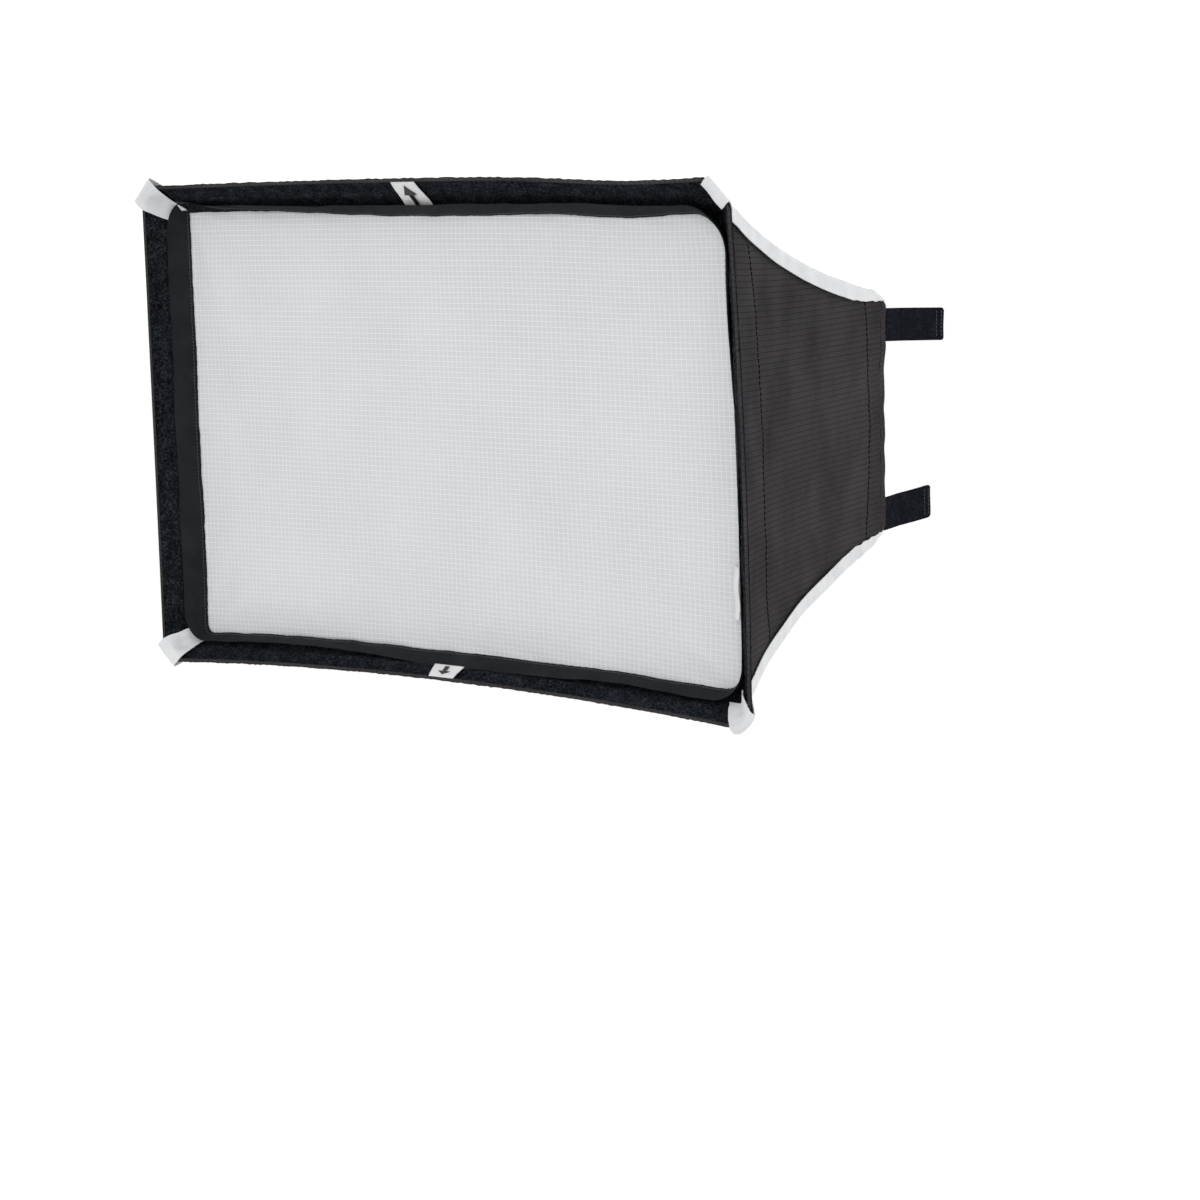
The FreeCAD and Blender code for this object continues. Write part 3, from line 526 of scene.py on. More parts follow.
def rolled_edge(points, inward):
    """Adds rows that roll the sheet's last row forward and back under itself."""
    ahead = np.array([0.0, -1.0, 0.0])
    rows = []
    for angle in np.linspace(0, math.pi, 6)[1:]:
        turned = ahead * math.sin(angle) + inward * (1 - math.cos(angle))
        rows.append(points[-1] + turned * EDGE_ROLL)
    return np.concatenate([points, np.array(rows)], axis=0)


INWARD = {
    "left": np.array([1.0, 0, 0]), "right": np.array([-1.0, 0, 0]),
    "top": np.array([0, 0, -1.0]), "bottom": np.array([0, 0, 1.0]),
}
CORNER_GAP = 0.0062
LINING_GAP, LINING_REAR, LINING_SHORT, LINING_BEHIND = 0.012, 0.004, 0.064, 0.0032
SHELL_THICK, LINING_THICK, TAPE_THICK, STRAP_THICK = 0.0006, 0.0004, 0.0009, 0.0018


def upright(face):
    return face in ("left", "right")


def span(face, depths, ends, gap, columns):
    """Places across a wall at each depth. An end of -1 or 1 stops short of its corner by the gap."""
    share = gap / (half_z(depths) if upright(face) else half_x(depths))
    low, high = (np.where(end == 0, 0.0, end * (1 - share)) for end in ends)
    return low[:, None] + (high - low)[:, None] * np.linspace(0, 1, columns)[None, :]


def depth_rows():
    """Rows from the rear to the front edge, closer together where the seams run."""
    front, lip = DEPTH - SEAM_FRONT, DEPTH - LIP_SEAM
    seams = ((SEAM_REAR, SEAM_REAR_TURN, 16), (front, SEAM_FRONT_TURN, 34), (lip, 0, 9))
    rows = [np.linspace(0, DEPTH, 120)]
    rows += [np.linspace(at - SEAM_BAND, at + turn + SEAM_BAND, count) for at, turn, count in seams]
    return np.unique(np.concatenate(rows).round(5))


def shell_panel(name, face, ends, columns, body, node, fold):
    """One black panel of the outer shell."""
    depths = depth_rows()
    across = span(face, depths, ends, CORNER_GAP, columns)
    depth = depths[:, None]
    flat = wall(face, depth, across)
    points = settle(wall(face, depth, across, creases(flat, depth, face)))
    run = np.cumsum(np.linalg.norm(np.diff(points[:, :1], axis=0, prepend=points[:1, :1]), axis=-1), axis=0)
    level = flat[..., 2] if upright(face) else flat[..., 0]
    uv = stacked(level, run)
    rolled = rolled_edge(points, INWARD[face])
    extra = len(rolled) - len(points)
    tail = uv[-1][None] + np.array([0, 1])[None, None] * 0.001 * np.arange(1, extra + 1)[:, None, None]
    uv = np.concatenate([uv, tail], axis=0)
    made = grid(name, rolled, MATERIALS["shell_ripstop"], uv, flip=face in ("left", "top"))
    thicken(made, SHELL_THICK)
    place(made, body, [node], fold)


def lining_panel(name, face, ends, columns, body, node, fold):
    """The silver lining of a wall, just inside it."""
    depths = np.linspace(LINING_REAR, DEPTH - LINING_SHORT, 60)
    across = span(face, depths, ends, LINING_GAP, columns)
    flat = wall(face, depths[:, None], across)
    lift = creases(flat, depths[:, None], face) - LINING_BEHIND + ripple(flat, 0.03, 71) * 0.0005
    points = settle(wall(face, depths[:, None], across, lift))
    made = grid(name, points, MATERIALS["silver_lining"], flip=face in ("left", "top"))
    thicken(made, LINING_THICK)
    place(made, body, [node], fold)


def seam_row(name, face, low, high, body, fold, seam, columns=160):
    """A row of dark thread across a wall."""
    across = np.linspace(low, high, columns)[None, :]
    depth = seam(across)
    flat = wall(face, depth, across)
    lift = creases(flat, depth, face) + 0.0003
    path = settle(wall(face, depth, across, lift))[0]
    how = {"dash": 0.0036, "gap": 0.0014, "width": 0.0011, "height": 0.0005}
    made = stitches(name, path, -INWARD[face], BLACK_THREAD, **how)
    place(made, body, fold=fold)


for side, sign in SIDES:
    body = f"{side}_side"
    shell_panel(f"{side}_wall", side, (-1, 1), 90, body, f"{side}_side_panel", side)
    lining_panel(f"{side}_wall_lining", side, (-1, 1), 50, body, f"{side}_side_lining", side)
    for name, seam in (("rear", rear_seam), ("front", front_seam), ("lip", lip_seam)):
        seam_row(f"{side}_wall_{name}_seam", side, -0.93, 0.93, body, side, seam)
    for height, upward in HEIGHTS:
        ends = HALF_SPAN[side]
        node = f"{height}_panel_{side}_half"
        shell_panel(f"{height}_wall_{side}_half", height, ends, 80, body, node, side)
        node = f"{height}_lining_{side}_half"
        lining_panel(f"{height}_wall_lining_{side}_half", height, ends, 45, body, node, side)
        low, high = ends[0] * 0.94, ends[1] * 0.94
        seam_row(f"{height}_wall_rear_seam_{side}", height, low, high, body, side, rear_seam)


# ---- white corner tapes


def corner_cross(reach, radius, columns):
    """Insets from a corner line, across a tape wrapped round it: over the side face, then over the top."""
    quarter = math.pi * radius / 4
    along = np.linspace(-reach, reach, columns)
    angle = np.clip(along / radius, -math.pi / 4, math.pi / 4) + math.pi / 4
    inset_x = radius * (1 - np.cos(angle)) + np.clip(along - quarter, 0, None)
    inset_z = radius * (1 - np.sin(angle)) + np.clip(-along - quarter, 0, None)
    return along, inset_x, inset_z


# Where a tape starts to go flat, half its flat width, and how far ahead of the lip it lies there.
FLAT_START, FLAT_HALF, FLAT_AHEAD = 0.022, 0.0145, 0.0030
LIP_TURN = 0.0030


def edge_tape(side, sign, height, upward):
    """The tape down one corner of the trumpet, over the lip and into the rim's mitre.

    It is wrapped round the corner edge, and goes flat across the cut corner as it turns over the lip.
    """
    columns = 33
    _, patch_reach, flatness = CORNERS[sign, upward]
    stations = []
    for depth in np.concatenate([np.linspace(0, MAIN, 90), np.linspace(MAIN, DEPTH, 18)[1:]]):
        narrow = 0.55 + 0.45 * min(depth / 0.09, 1)
        widen = 1 + 0.2 * max(1 - (DEPTH - depth) / 0.05, 0)
        puff = 0.0014 + 0.0010 * math.sin(math.pi * depth / DEPTH)
        flat = np.clip(1 - (DEPTH - depth) / FLAT_START, 0, 1)
        corner = (float(half_x(np.array(depth))), float(half_z(np.array(depth))))
        stations.append((corner, -depth, puff, TAPE_REACH * narrow * widen, flat, False))
    for angle in np.linspace(0, math.pi * 0.7, 9)[1:]:
        back = LIP_TURN * (1 - math.cos(angle))
        corner = (FRONT_X - back, FRONT_Z - back)
        stations.append((corner, -DEPTH - LIP_TURN * math.sin(angle), 0.0020, TAPE_REACH * 1.2, 1.0, False))
    for share in np.linspace(0, 1, 24)[1:]:
        swell = 0.0016 * math.sin(math.pi * min(share * 1.15, 1)) + 0.0012
        inward = 0.10 + share * patch_reach
        corner = (FRONT_X - inward * RIM_X, FRONT_Z - inward * RIM_Z)
        flat = max(1 - share / 0.5, 0)
        y = -DEPTH + inward * RIM_Y - swell
        stations.append((corner, y, -swell * 0.5, TAPE_REACH * (1.2 - 0.35 * share), flat, True))

    rows = []
    for (corner_x, corner_z), y, puff, reach, flat, in_rim in stations:
        along, inset_x, inset_z = corner_cross(reach, TAPE_ROUND, columns)
        x, z = sign * (corner_x + puff - inset_x), upward * (corner_z + puff - inset_z)
        share = flat * flatness
        share = share * share * (3 - 2 * share)
        if in_rim:
            y += (-DEPTH - FLAT_AHEAD - y) * share
        y = np.full(columns, y)
        wrapped_x, wrapped_z = round_corners(x, y, z)
        radius = float(corner_radius(np.array(x[0]), np.array(y[0]), np.array(z[0])))
        apex = radius * (1 - 0.5 ** (1 / CORNER_POWER)) + TAPE_ROUND * 0.3 - puff
        spread = along / reach * FLAT_HALF * math.sqrt(0.5)
        flat_x, flat_z = sign * (corner_x - apex - spread), upward * (corner_z - apex + spread)
        x, z = wrapped_x + (flat_x - wrapped_x) * share, wrapped_z + (flat_z - wrapped_z) * share
        rows.append(stacked(x, y, z))
    points = np.array(rows)
    seed = 101 + 10 * (sign > 0) + 5 * (upward > 0)
    run = np.linspace(0, 1, len(rows))[:, None]
    rear_wrinkle = np.exp(-((run / 0.12) ** 2)) * 0.0010
    front_wrinkle = np.exp(-(((run - 0.88) / 0.10) ** 2)) * 0.0006
    waves = ripple(points, 0.016, seed) * (rear_wrinkle + front_wrinkle)
    waves = waves + ripple(points, 0.09, seed + 1) * 0.0004
    outward = np.array([sign * 0.7, 0, upward * 0.7])
    points = settle(points + waves[..., None] * outward, cut_corners=False)
    made = grid(f"{side}_{height}_edge_tape", points, MATERIALS["white_tape"], flip=sign * upward > 0)
    thicken(made, TAPE_THICK)
    node = f"{side}_{height}_spine_tape"
    place(made, f"{side}_side", [node], side)
    return points


for side, sign in SIDES:
    for height, upward in HEIGHTS:
        tape = edge_tape(side, sign, height, upward)
        name = f"{side}_{height}_tape_stitch"
        row = stitches(name, tape[4:105, 1], (sign, 0, 0), WHITE_THREAD, width=0.0005)
        place(row, f"{side}_side", fold=side)
        for number, column in enumerate((2, -3)):
            line = tape[-24:-2, column] + np.array([0, -0.0003, 0])
            name = f"{side}_{height}_patch_stitch_{number + 1}"
            row = stitches(name, line, (0, -1, 0), PALE_THREAD, dash=0.0016, gap=0.0010, width=0.0008)
            place(row, f"{side}_side", fold=side)


# ---- the rim's loop tape


def rim_point(face, inward, across, lift=0.0):
    """Points on the rim's slope: inward from 0 at the lip to 1 at its inner edge."""
    x = FRONT_X - RIM_X * inward
    z = FRONT_Z - RIM_Z * inward
    y = -DEPTH + RIM_Y * inward - 0.7 * lift
    sign = 1 if face in ("right", "top") else -1
    if upright(face):
        points = [sign * (x - 0.7 * lift), y, across * z]
    else:
        points = [across * x, y, sign * (z - 0.7 * lift)]
    return stacked(*points)


def rim_strip(name, face, low, high, columns, body, node, fold):
    """A strip of loop tape, with a slightly frayed outer edge and a soft pile."""
    inward = np.concatenate([[0.0, 0.0], np.linspace(0.0, 1.0, 26), [1.0]])[:, None]
    across = np.linspace(low, high, columns)[None, :]
    flat = rim_point(face, inward, across)
    seed = {"left": 201, "right": 211, "top": 221, "bottom": 231}[face]
    nap = ripple(flat, 0.0045, seed) * 0.00022 + ripple(flat, 0.011, seed + 1) * 0.0002
    soft = ripple(flat, 0.07, seed + 2) * 0.0006
    under_border = np.clip((inward - 0.40) / 0.15, 0, 1)
    lift = (0.0013 + nap + soft) * (1 - under_border) - 0.0010 * under_border
    lift[0], lift[1] = -0.0010, 0.0002
    fray = ripple(flat, 0.006, seed + 3)[:3] * 0.00022 + ripple(flat, 0.03, seed + 4)[:3] * 0.0002
    shift = np.zeros(flat.shape[:2])
    shift[:3] = 0.01 + fray / RIM_X
    points = settle(rim_point(face, inward + shift, across, lift))
    made = grid(name, points, MATERIALS["loop_tape"], flip=face in ("right", "bottom"))
    place(made, body, [node], fold)


for side, sign in SIDES:
    rim_strip(f"{side}_rim", side, -1, 1, 420, f"{side}_side", f"{side}_rim_tape", side)
    for height, upward in HEIGHTS:
        node = f"{height}_rim_tape_{side}_half"
        rim_strip(f"{height}_rim_{side}_half", height, *HALF_SPAN[side], 320, f"{side}_side", node, side)


# ---- the diffuser


QUARTERS = ((1, 1), (-1, 1), (-1, -1), (1, -1))


def rounded_loop(half_wide, half_tall, radii, per_corner=20, per_side=150):
    """Points round a rectangle with a radius for each corner, from the top right one to the left."""
    corners = []
    for number, (sx, sz) in enumerate(QUARTERS):
        radius = radii[number]
        start = number * math.pi / 2
        angles = np.linspace(start, start + math.pi / 2, per_corner)
        centre = np.array([sx * (half_wide - radius), sz * (half_tall - radius)])
        corners.append(centre + radius * np.stack([np.cos(angles), np.sin(angles)], axis=-1))
    loop = []
    for number in range(4):
        loop.append(corners[number])
        share = np.linspace(0, 1, per_side + 2)[1:-1, None]
        loop.append(corners[number][-1] * (1 - share) + corners[(number + 1) % 4][0] * share)
    return np.concatenate(loop, axis=0)


BORDER_RADII = (0.044, 0.030, 0.028, 0.034)
CLOTH_RADII = (0.034, 0.008, 0.009, 0.018)


# The diffuser hangs a little in the middle of its top edge, and is drawn up at its top left corner.
HANG_AT = (-1.0, -0.85, -0.4, -0.25, -0.1, 0.2, 0.6, 1.0)
INNER_HANG = (0.0120, 0.0041, -0.0005, -0.0020, -0.0032, -0.0038, -0.0030, 0.0005)
OUTER_HANG = (0.0100, 0.0010, -0.0030, -0.0031, -0.0032, -0.0025, -0.0014, -0.0020)
INNER_LOW = (0.0, 0.0005, 0.0018, 0.0010, -0.0005, -0.0008, 0.0, 0.0)
OUTER_LOW = (0.0, 0.0005, 0.0020, -0.0012, -0.0055, -0.0055, -0.0012, 0.0)
INNER_SHIFT = 0.004


def hang(x, z, half, hangs, lows):
    """How far a point of the diffuser sits above its straight place."""
    top = np.interp(x / half.x, HANG_AT, hangs) * np.clip(z / half.z, 0, 1) ** 4
    return top + np.interp(x / half.x, HANG_AT, lows) * np.clip(-z / half.z, 0, 1) ** 4


def border_loops():
    """The border's outer and inner edges, before the cloth settles."""
    outer = rounded_loop(BORDER_OUTER.x, BORDER_OUTER.z, BORDER_RADII)
    inner = rounded_loop(BORDER_INNER.x, BORDER_INNER.z, CLOTH_RADII)
    away = outer - inner
    away /= np.linalg.norm(away, axis=1)[:, None]
    for loop, half, hangs, lows, shift, seed, fine in (
        (outer, BORDER_OUTER, OUTER_HANG, OUTER_LOW, 0.0, 301, 0.0),
        (inner, BORDER_INNER, INNER_HANG, INNER_LOW, INNER_SHIFT, 311, 0.00025),
    ):
        spread = np.concatenate([loop[:, :1], np.full((len(loop), 1), half.y), loop[:, 1:]], axis=1)
        waves = ripple(spread, 0.16, seed) * 0.0010 + ripple(spread, 0.045, seed + 1) * 0.0004
        waves = waves + ripple(spread, 0.004, seed + 2) * fine
        loop[:, 1] += hang(loop[:, 0], loop[:, 1], half, hangs, lows)
        loop += away * waves[:, None]
        loop[:, 0] += shift
    return outer, inner


def diffuser_border():
    """The dark tape sewn round the cloth: a soft ring that slopes forward to the rim."""
    outer, inner = border_loops()
    rows = []
    profile = [(1.03, 0.0026), (1.05, 0.0014), (1.035, 0.0002)]
    profile += [(1.02 - 1.0 * k / 16, 0.0) for k in range(17)]
    profile += [(0.006, 0.0005), (0.010, 0.0012)]
    for share, behind in profile:
        flat = inner + (outer - inner) * share
        y = BORDER_INNER.y + (BORDER_OUTER.y - BORDER_INNER.y) * share
        crown = 0.0012 * math.sin(math.pi * min(max(share, 0), 1))
        spread = np.concatenate([flat[:, :1], flat[:, :1] * 0 + y, flat[:, 1:]], axis=1)
        lumps = ripple(spread, 0.03, 321) * 0.0003
        rows.append(stacked(flat[:, 0], y - crown - lumps + behind, flat[:, 1]))
    points = settle(np.array(rows))
    places = flat_places(points)
    around, down = places[8, :, 0], places[:, 0, 1]
    uv = stacked(down[:, None], around[None, :])
    made = grid("diffuser_border_tape", points, MATERIALS["border_tape"], uv, ring=True, flip=True)
    place(made, "diffuser", ["diffuser_border"], "left")


def diffuser_cloth():
    """The cloth, stretched on its border, with slack near the edges."""
    reach_x, reach_z = BORDER_INNER.x + 0.0015, BORDER_INNER.z + 0.0015
    x, z = np.meshgrid(np.linspace(-reach_x, reach_x, 200), np.linspace(-reach_z, reach_z, 130))
    flat = stacked(x, BORDER_INNER.y + 0.0002, z)
    from_edge = np.minimum(reach_x - np.abs(x), reach_z - np.abs(z))
    for number, (sx, sz) in enumerate(QUARTERS):
        radius = CLOTH_RADII[number] + 0.001
        over_x, over_z = np.maximum(sx * x - reach_x + radius, 0), np.maximum(sz * z - reach_z + radius, 0)
        shrink = draw_in(over_x, over_z, 2)
        flat[..., 0] += sx * over_x * shrink
        flat[..., 2] += sz * over_z * shrink
    flat[..., 2] += hang(flat[..., 0], flat[..., 2], BORDER_INNER, INNER_HANG, INNER_LOW)
    flat[..., 0] += INNER_SHIFT
    slack = ripple(flat, 0.18, 401) * 0.0012 + ripple(flat, 0.07, 403) * 0.0003
    for (sx, sz), turn in zip(QUARTERS, (0.4, 1.7, 2.9, 0.9)):
        distance = np.hypot(sx * reach_x - x, sz * reach_z - z)
        bearing = np.arctan2(sz * reach_z - z, sx * reach_x - x)
        slack = slack + 0.0016 * np.exp(-((distance / 0.085) ** 2)) * np.cos(bearing * 7 + turn)
    edge_puckers = ripple(flat, 0.012, 405) * 0.0003 * np.exp(-((from_edge / 0.014) ** 2))
    hold = np.clip(from_edge / 0.03, 0, 1)
    flat[..., 1] += slack * hold + edge_puckers + 0.0006 * (1 - hold)
    points = settle(flat)
    made = grid("diffuser_sheet", points, MATERIALS["diffuser_cloth"], flat[..., [0, 2]])
    thicken(made, 0.0004, 0.0)
    place(made, "diffuser", ["diffuser_cloth"], "left")


def border_stitches():
    """A row of stitches round the border, near the cloth's edge."""
    outer, inner = border_loops()
    share = 0.0016 / np.linalg.norm(outer - inner, axis=1)[:, None]
    loop = inner + (outer - inner) * share
    y = BORDER_INNER.y + (BORDER_OUTER.y - BORDER_INNER.y) * share[:, 0] - 0.0004
    path = settle(stacked(loop[:, 0], y, loop[:, 1]))
    path = np.concatenate([path, path[:1]])
    made = stitches("border_stitch_inner", path, (0, -1, 0), GREY_THREAD, dash=0.0022)
    place(made, "diffuser", fold="left")


def hook_band():
    """The hook tape behind the border, which meets the rim's loop tape."""
    outer, inner = border_loops()
    inner, outer = inner + (outer - inner) * 0.2, outer - (outer - inner) * 0.12
    rows = []
    for share in np.linspace(0, 1, 8):
        flat = inner + (outer - inner) * share
        y = BORDER_INNER.y + 0.0022 + (BORDER_OUTER.y - BORDER_INNER.y) * share
        rows.append(stacked(flat[:, 0], y, flat[:, 1]))
    points = settle(np.array(rows))
    made = grid("diffuser_hook_band", points, MATERIALS["hook_tape"], ring=True)
    thicken(made, 0.0007, 1.0)
    place(made, "diffuser", ["diffuser_hook_tape"], "left")


diffuser_border()
diffuser_cloth()
border_stitches()
hook_band()


# ---- labels


def rim_label(name, upward, width, last, offset):
    """A satin label sewn across the rim, a little wider at its inner end, with a slight curl."""
    inward = np.linspace(0.02, last, 14)[:, None]
    x = np.linspace(-width / 2, width / 2, 12)[None, :] * (1 + 0.25 * inward / last) + offset
    face = "top" if upward > 0 else "bottom"
    curl = 0.0021 + 0.0005 * np.sin(inward * 9) + 0 * x
    points = settle(rim_point(face, inward, x / (FRONT_X - RIM_X * inward), curl))
    made = grid(name, points, MATERIALS["label_white"], flip=upward < 0)
    thicken(made, 0.0004)
    return made


def arrow_on(name, upward, tip, tail, width, offset):
    """A plain arrow that points at the lip, printed on a rim label."""
    face = "top" if upward > 0 else "bottom"
    head = tip + (tail - tip) * 0.42
    outline = [(0, tip), (width / 2, head), (width * 0.17, head), (width * 0.17, tail)]
    outline += [(-width * 0.17, tail), (-width * 0.17, head), (-width / 2, head)]
    points = []
    for x, inward in outline:
        across = (x + offset) / (FRONT_X - RIM_X * inward)
        points.append(settle(rim_point(face, np.array(inward), np.array(across), 0.0034)))
    faces = [[0, 1, 6], [1, 2, 5, 6], [2, 3, 4, 5]]
    if upward < 0:
        faces = [f[::-1] for f in faces]
    return mesh_object(name, points, faces, PRINT_INK)


for height, upward, last, offset in (("top", 1, 0.82, -0.010), ("bottom", -1, 0.44, 0.010)):
    label = rim_label(f"{height}_label", upward, 0.028, last, offset)
    place(label, "left_side", ["fold_labels"], "left")
    arrow = arrow_on(f"{height}_label_arrow", upward, 0.12, last - 0.06, 0.015, offset)
    place(arrow, "left_side", fold="left")


def care_label():
    """A small white strip sewn in at the right of the cloth, with plain printed bars."""
    z = np.linspace(-0.140, -0.094, 24)[:, None]
    x = np.linspace(0.3185, 0.3255, 6)[None, :]
    y = BORDER_INNER.y - 0.0030 - 0.0009 * np.sin(z * 210) - (x - 0.3185) * 0.35
    points = settle(stacked(x, y, z))
    made = grid("care_label", points, MATERIALS["label_white"], flip=True)
    thicken(made, 0.0003)
    place(made, "diffuser", fold="left")
    bars, faces = [], []
    for row in range(2, 22, 2):
        first = len(bars)
        for a, b in ((row, 2), (row, 4), (row + 1, 4), (row + 1, 2)):
            bars.append(points[a, b] + np.array([0, -0.0003, 0]))
        faces.append([first, first + 1, first + 2, first + 3])
    printed = mesh_object("care_label_bars", bars, faces, PRINT_INK)
    place(printed, "diffuser", fold="left")


care_label()


# ---- rear edge, hems and straps


def rear_fold(name, face, low, high, body, fold):
    """The walls' rear edge, turned in."""
    across = np.linspace(low, high, 90)[None, :]
    rows = []
    for depth, behind, lift in (
        (0.010, 0.0, 0.0002), (0.004, 0.0, 0.0006), (0.0, 0.0003, 0.0006), (0.0, 0.0010, -0.0002),
        (0.0, 0.0006, -0.0012), (0.002, 0.0, -0.0020), (0.010, 0.0, -0.0022),
    ):
        depth = np.array([[depth]])
        flat = wall(face, depth, across)
        waves = ripple(flat, 0.022, 501) * 0.0003
        points = wall(face, depth, across, lift + waves + creases(flat, depth, face))
        points[..., 1] += behind
        rows.append(points[0])
    made = grid(name, settle(np.array(rows)), MATERIALS["shell_ripstop"], flip=face in ("right", "bottom"))
    place(made, body, fold=fold)


HEM_DEPTH, HEM_HALF = 0.0445, 0.099


def rear_hem(side, sign):
    """The hem that holds the stiffener, sewn inside the side wall."""
    depth = np.linspace(0.001, HEM_DEPTH, 24)[:, None]
    z = np.linspace(-HEM_HALF, HEM_HALF, 90)[None, :]
    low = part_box(f"{side}_rear_hem")
    inner = min(abs(low[0].x), abs(low[1].x))
    bulge = 0.0006 * np.sin(np.pi * depth / HEM_DEPTH)
    x = sign * (inner - bulge + (half_x(depth) - half_x(np.array(0.0))) * 0.9) + 0 * z
    flat = stacked(x, -depth, z)
    flat[..., 0] += ripple(flat, 0.03, 521) * 0.0003
    made = grid(f"{side}_hem_band", flat, MATERIALS["shell_ripstop"], flip=sign > 0)
    thicken(made, 0.0008, 0.0)
    place(made, f"{side}_side", [f"{side}_rear_hem"])
    row = stitches(f"{side}_hem_stitch", flat[-3], (-sign, 0, 0), BLACK_THREAD)
    place(row, f"{side}_side")


# The cloth of a strap is a little narrower than its CAD solid.
STRAP_ROOT_X, STRAP_SPLAY, STRAP_BEND, STRAP_NARROW = 0.158, math.radians(6), 0.0035, 0.86
STRAP_CORNER = 0.004


def strap(side, sign, part, bend, rise):
    """A strap of loop-faced webbing: it leaves the hem, bends at the lamp's edge and has a sewn end."""
    low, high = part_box(f"{side}_{part}_strap")
    middle_z, half_tall = (low.z + high.z) / 2, (high.z - low.z) / 2
    columns = 24
    rows = []
    for y in np.linspace(low.y, high.y, 70):
        share = (y - low.y) / (high.y - low.y)
        from_corner = max(STRAP_CORNER - (high.y - y), 0.0)
        shrink = STRAP_CORNER - math.sqrt(max(STRAP_CORNER**2 - from_corner**2, 0.0))
        z = np.linspace(-half_tall + shrink * 0.8, half_tall - shrink * 0.8, columns)
        out = STRAP_ROOT_X + (y - low.y) * math.tan(STRAP_SPLAY)
        out -= STRAP_BEND * (min(share / bend, 1.0) - max(share - bend, 0) / (1 - bend))
        z = z * STRAP_NARROW + middle_z + rise * share**1.3
        rows.append(stacked(sign * out, y, z))
    points = np.array(rows)
    points[..., 0] += ripple(points, 0.035, 541 + 3 * (sign > 0)) * 0.0004
    made = grid(f"{side}_{part}_strap_band", points, MATERIALS["strap_webbing"], flip=sign < 0)
    thicken(made, STRAP_THICK, 0.0)
    body = f"{side}_{part}_strap_body"
    place(made, body, [f"{side}_{part}_strap"])
    outward = np.array([sign, 0.0, 0.0])
    for number, row in enumerate((61, 66)):
        line = points[row, 2:-2] + outward * 0.0010
        thread = stitches(f"{side}_{part}_strap_stitch_{number + 1}", line, outward, GREY_THREAD, dash=0.0026)
        place(thread, body)


for side, sign in SIDES:
    body = f"{side}_side"
    rear_fold(f"{side}_rear_fold", side, -0.97, 0.97, body, side)
    for height, upward in HEIGHTS:
        ends = (-0.97, 0) if sign < 0 else (0, 0.97)
        rear_fold(f"{height}_rear_fold_{side}", height, *ends, body, side)
    rear_hem(side, sign)
    strap(side, sign, "upper", 0.35, -0.002)
    strap(side, sign, "lower", 0.45, 0.009)


# ---- bowed spines


rod_low, rod_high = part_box("left_upright_rod")
ROD_RADIUS = (rod_high.x - rod_low.x) / 2
SPINE_REAR, SPINE_FRONT, SPINE_IN_X, SPINE_IN_Z = 0.0195, 0.430, 0.0062 * 1.25, 0.0062 * 1.15


def spine(side, sign, height, upward):
    """A flexible rod inside the corner seam."""
    depth = np.linspace(SPINE_REAR, SPINE_FRONT, 60)
    x, z = sign * (half_x(depth) - SPINE_IN_X), upward * (half_z(depth) - SPINE_IN_Z)
    points = stacked(x, -depth, z)
    made = tube(f"{side}_{height}_spine", settle(points), ROD_RADIUS, MATERIALS["frame_rod"])
    place(made, f"{side}_side", [f"{side}_{height}_spine_rod"], side)


for side, sign in SIDES:
    for height, upward in HEIGHTS:
        spine(side, sign, height, upward)


# ---- carried-over CAD nodes

slots = {entry["node"]: entry["material_slot"] for entry in frame["record"]["subparts"]}
for name, node in frame["nodes"].items():
    node.data.materials.clear()
    node.data.materials.append(MATERIALS[slots[name]])


# ---- stage, light and camera


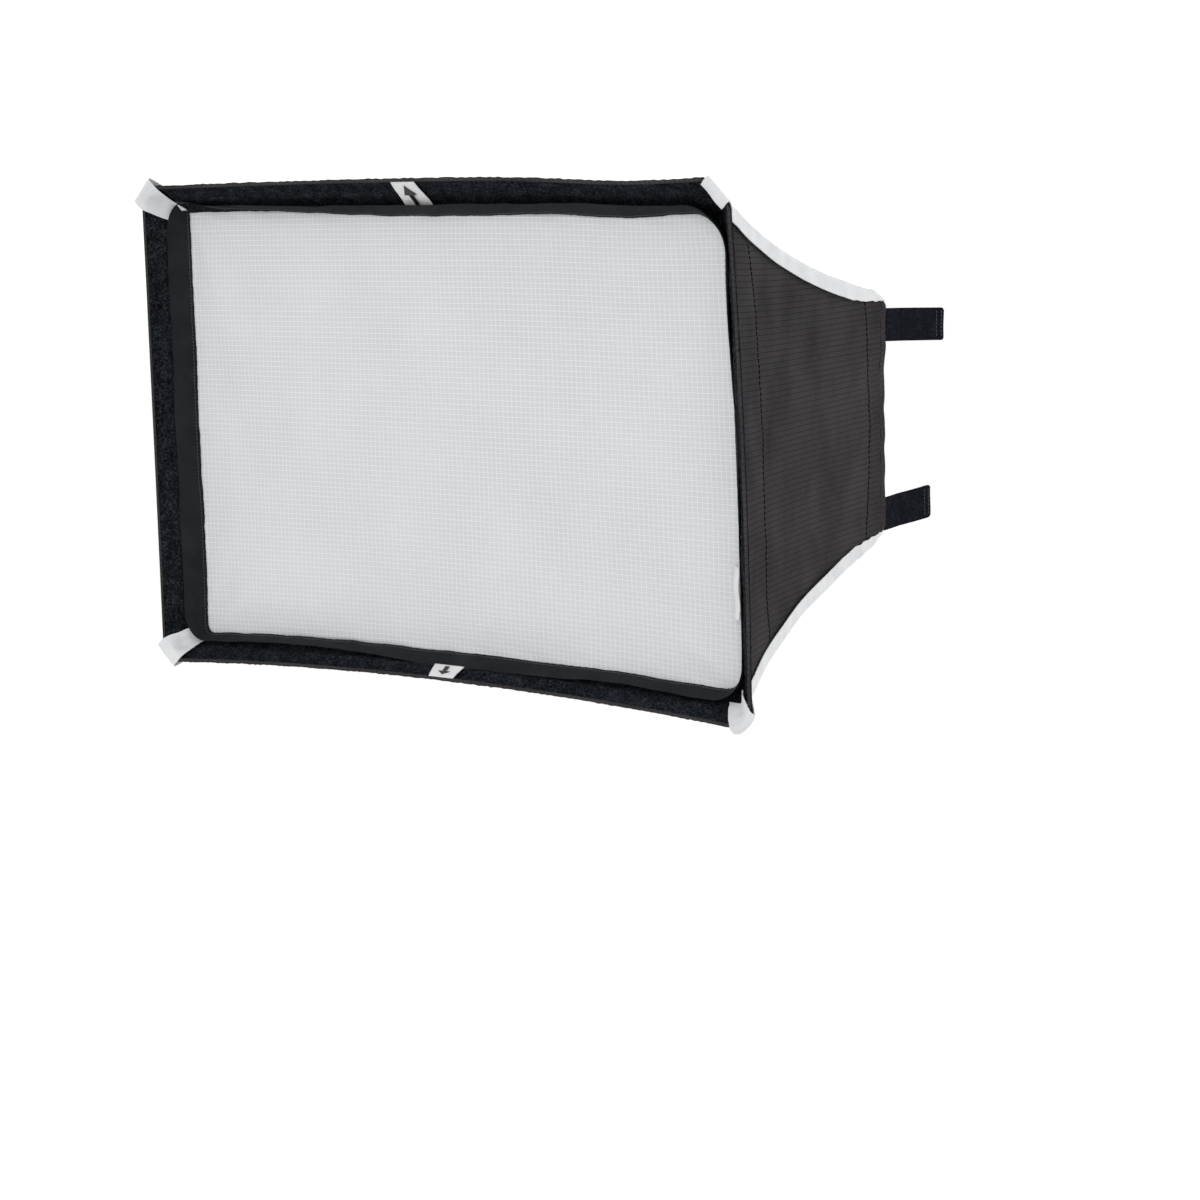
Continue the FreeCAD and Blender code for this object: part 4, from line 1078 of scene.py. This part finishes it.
def stage():
    """A wide pale floor, well below the object."""
    reach, floor_z = 60.0, -1.6
    points = np.array([[[x, y, floor_z] for x in (-reach, reach)] for y in (-reach, reach)])
    made = Shader("pale_floor", 0.9, gloss=0.1)
    mottle = made.spread(made.noise(3, 3), 0, 1)
    paint = made.finish(made.mix(mottle, (0.89, 0.89, 0.89), (0.90, 0.90, 0.90)), mottle, 0.0005, 0.1)
    floor = grid("floor", points, paint)


def area_light(name, place_at, aim, size, power):
    data = bpy.data.lights.new(name, "AREA")
    data.shape = "RECTANGLE"
    data.size, data.size_y = size
    data.energy = power
    light = bpy.data.objects.new(name, data)
    light.location = place_at
    light.rotation_euler = (Vector(aim) - Vector(place_at)).to_track_quat("-Z", "Y").to_euler()
    bpy.context.scene.collection.objects.link(light)


AZIMUTH, ELEVATION, DISTANCE = 39.7, 4.0, 2.880
PITCH, ROLL, LENS = 3.35, -0.58, 90.0


def camera():
    """The photograph's viewpoint: right of the front, a little above the middle, aimed slightly high."""
    target = Vector((0, -DEPTH / 2, 0))
    azimuth, elevation = math.radians(AZIMUTH), math.radians(ELEVATION)
    aimed = math.radians(ELEVATION + PITCH)

    def back(tilt):
        level = Vector((math.sin(azimuth), -math.cos(azimuth), 0))
        return level * math.cos(tilt) + Vector((0, 0, math.sin(tilt)))

    data = bpy.data.cameras.new("camera")
    data.lens, data.sensor_width = LENS, 36.0
    data.clip_start, data.clip_end = 0.05, 60
    made = bpy.data.objects.new("camera", data)
    made.location = target + back(elevation) * DISTANCE
    turn = (-back(aimed)).to_track_quat("-Z", "Y").to_matrix() @ Matrix.Rotation(math.radians(ROLL), 3, "Z")
    made.rotation_euler = turn.to_euler()
    bpy.context.scene.collection.objects.link(made)
    bpy.context.scene.camera = made


stage()
world = bpy.data.worlds.new("studio")
world.use_nodes = True
world.node_tree.nodes["Background"].inputs["Color"].default_value = (1, 1, 1, 1)
world.node_tree.nodes["Background"].inputs["Strength"].default_value = 1.12
bpy.context.scene.world = world
area_light("key", (1.2, -2.8, 1.8), (0, -0.3, 0), (2.0, 1.4), 10)
area_light("side", (0.6, 3.3, 0.8), (0.2, -0.3, 0), (1.2, 1.2), 30)
bpy.context.scene.view_settings.view_transform = "Standard"
camera()
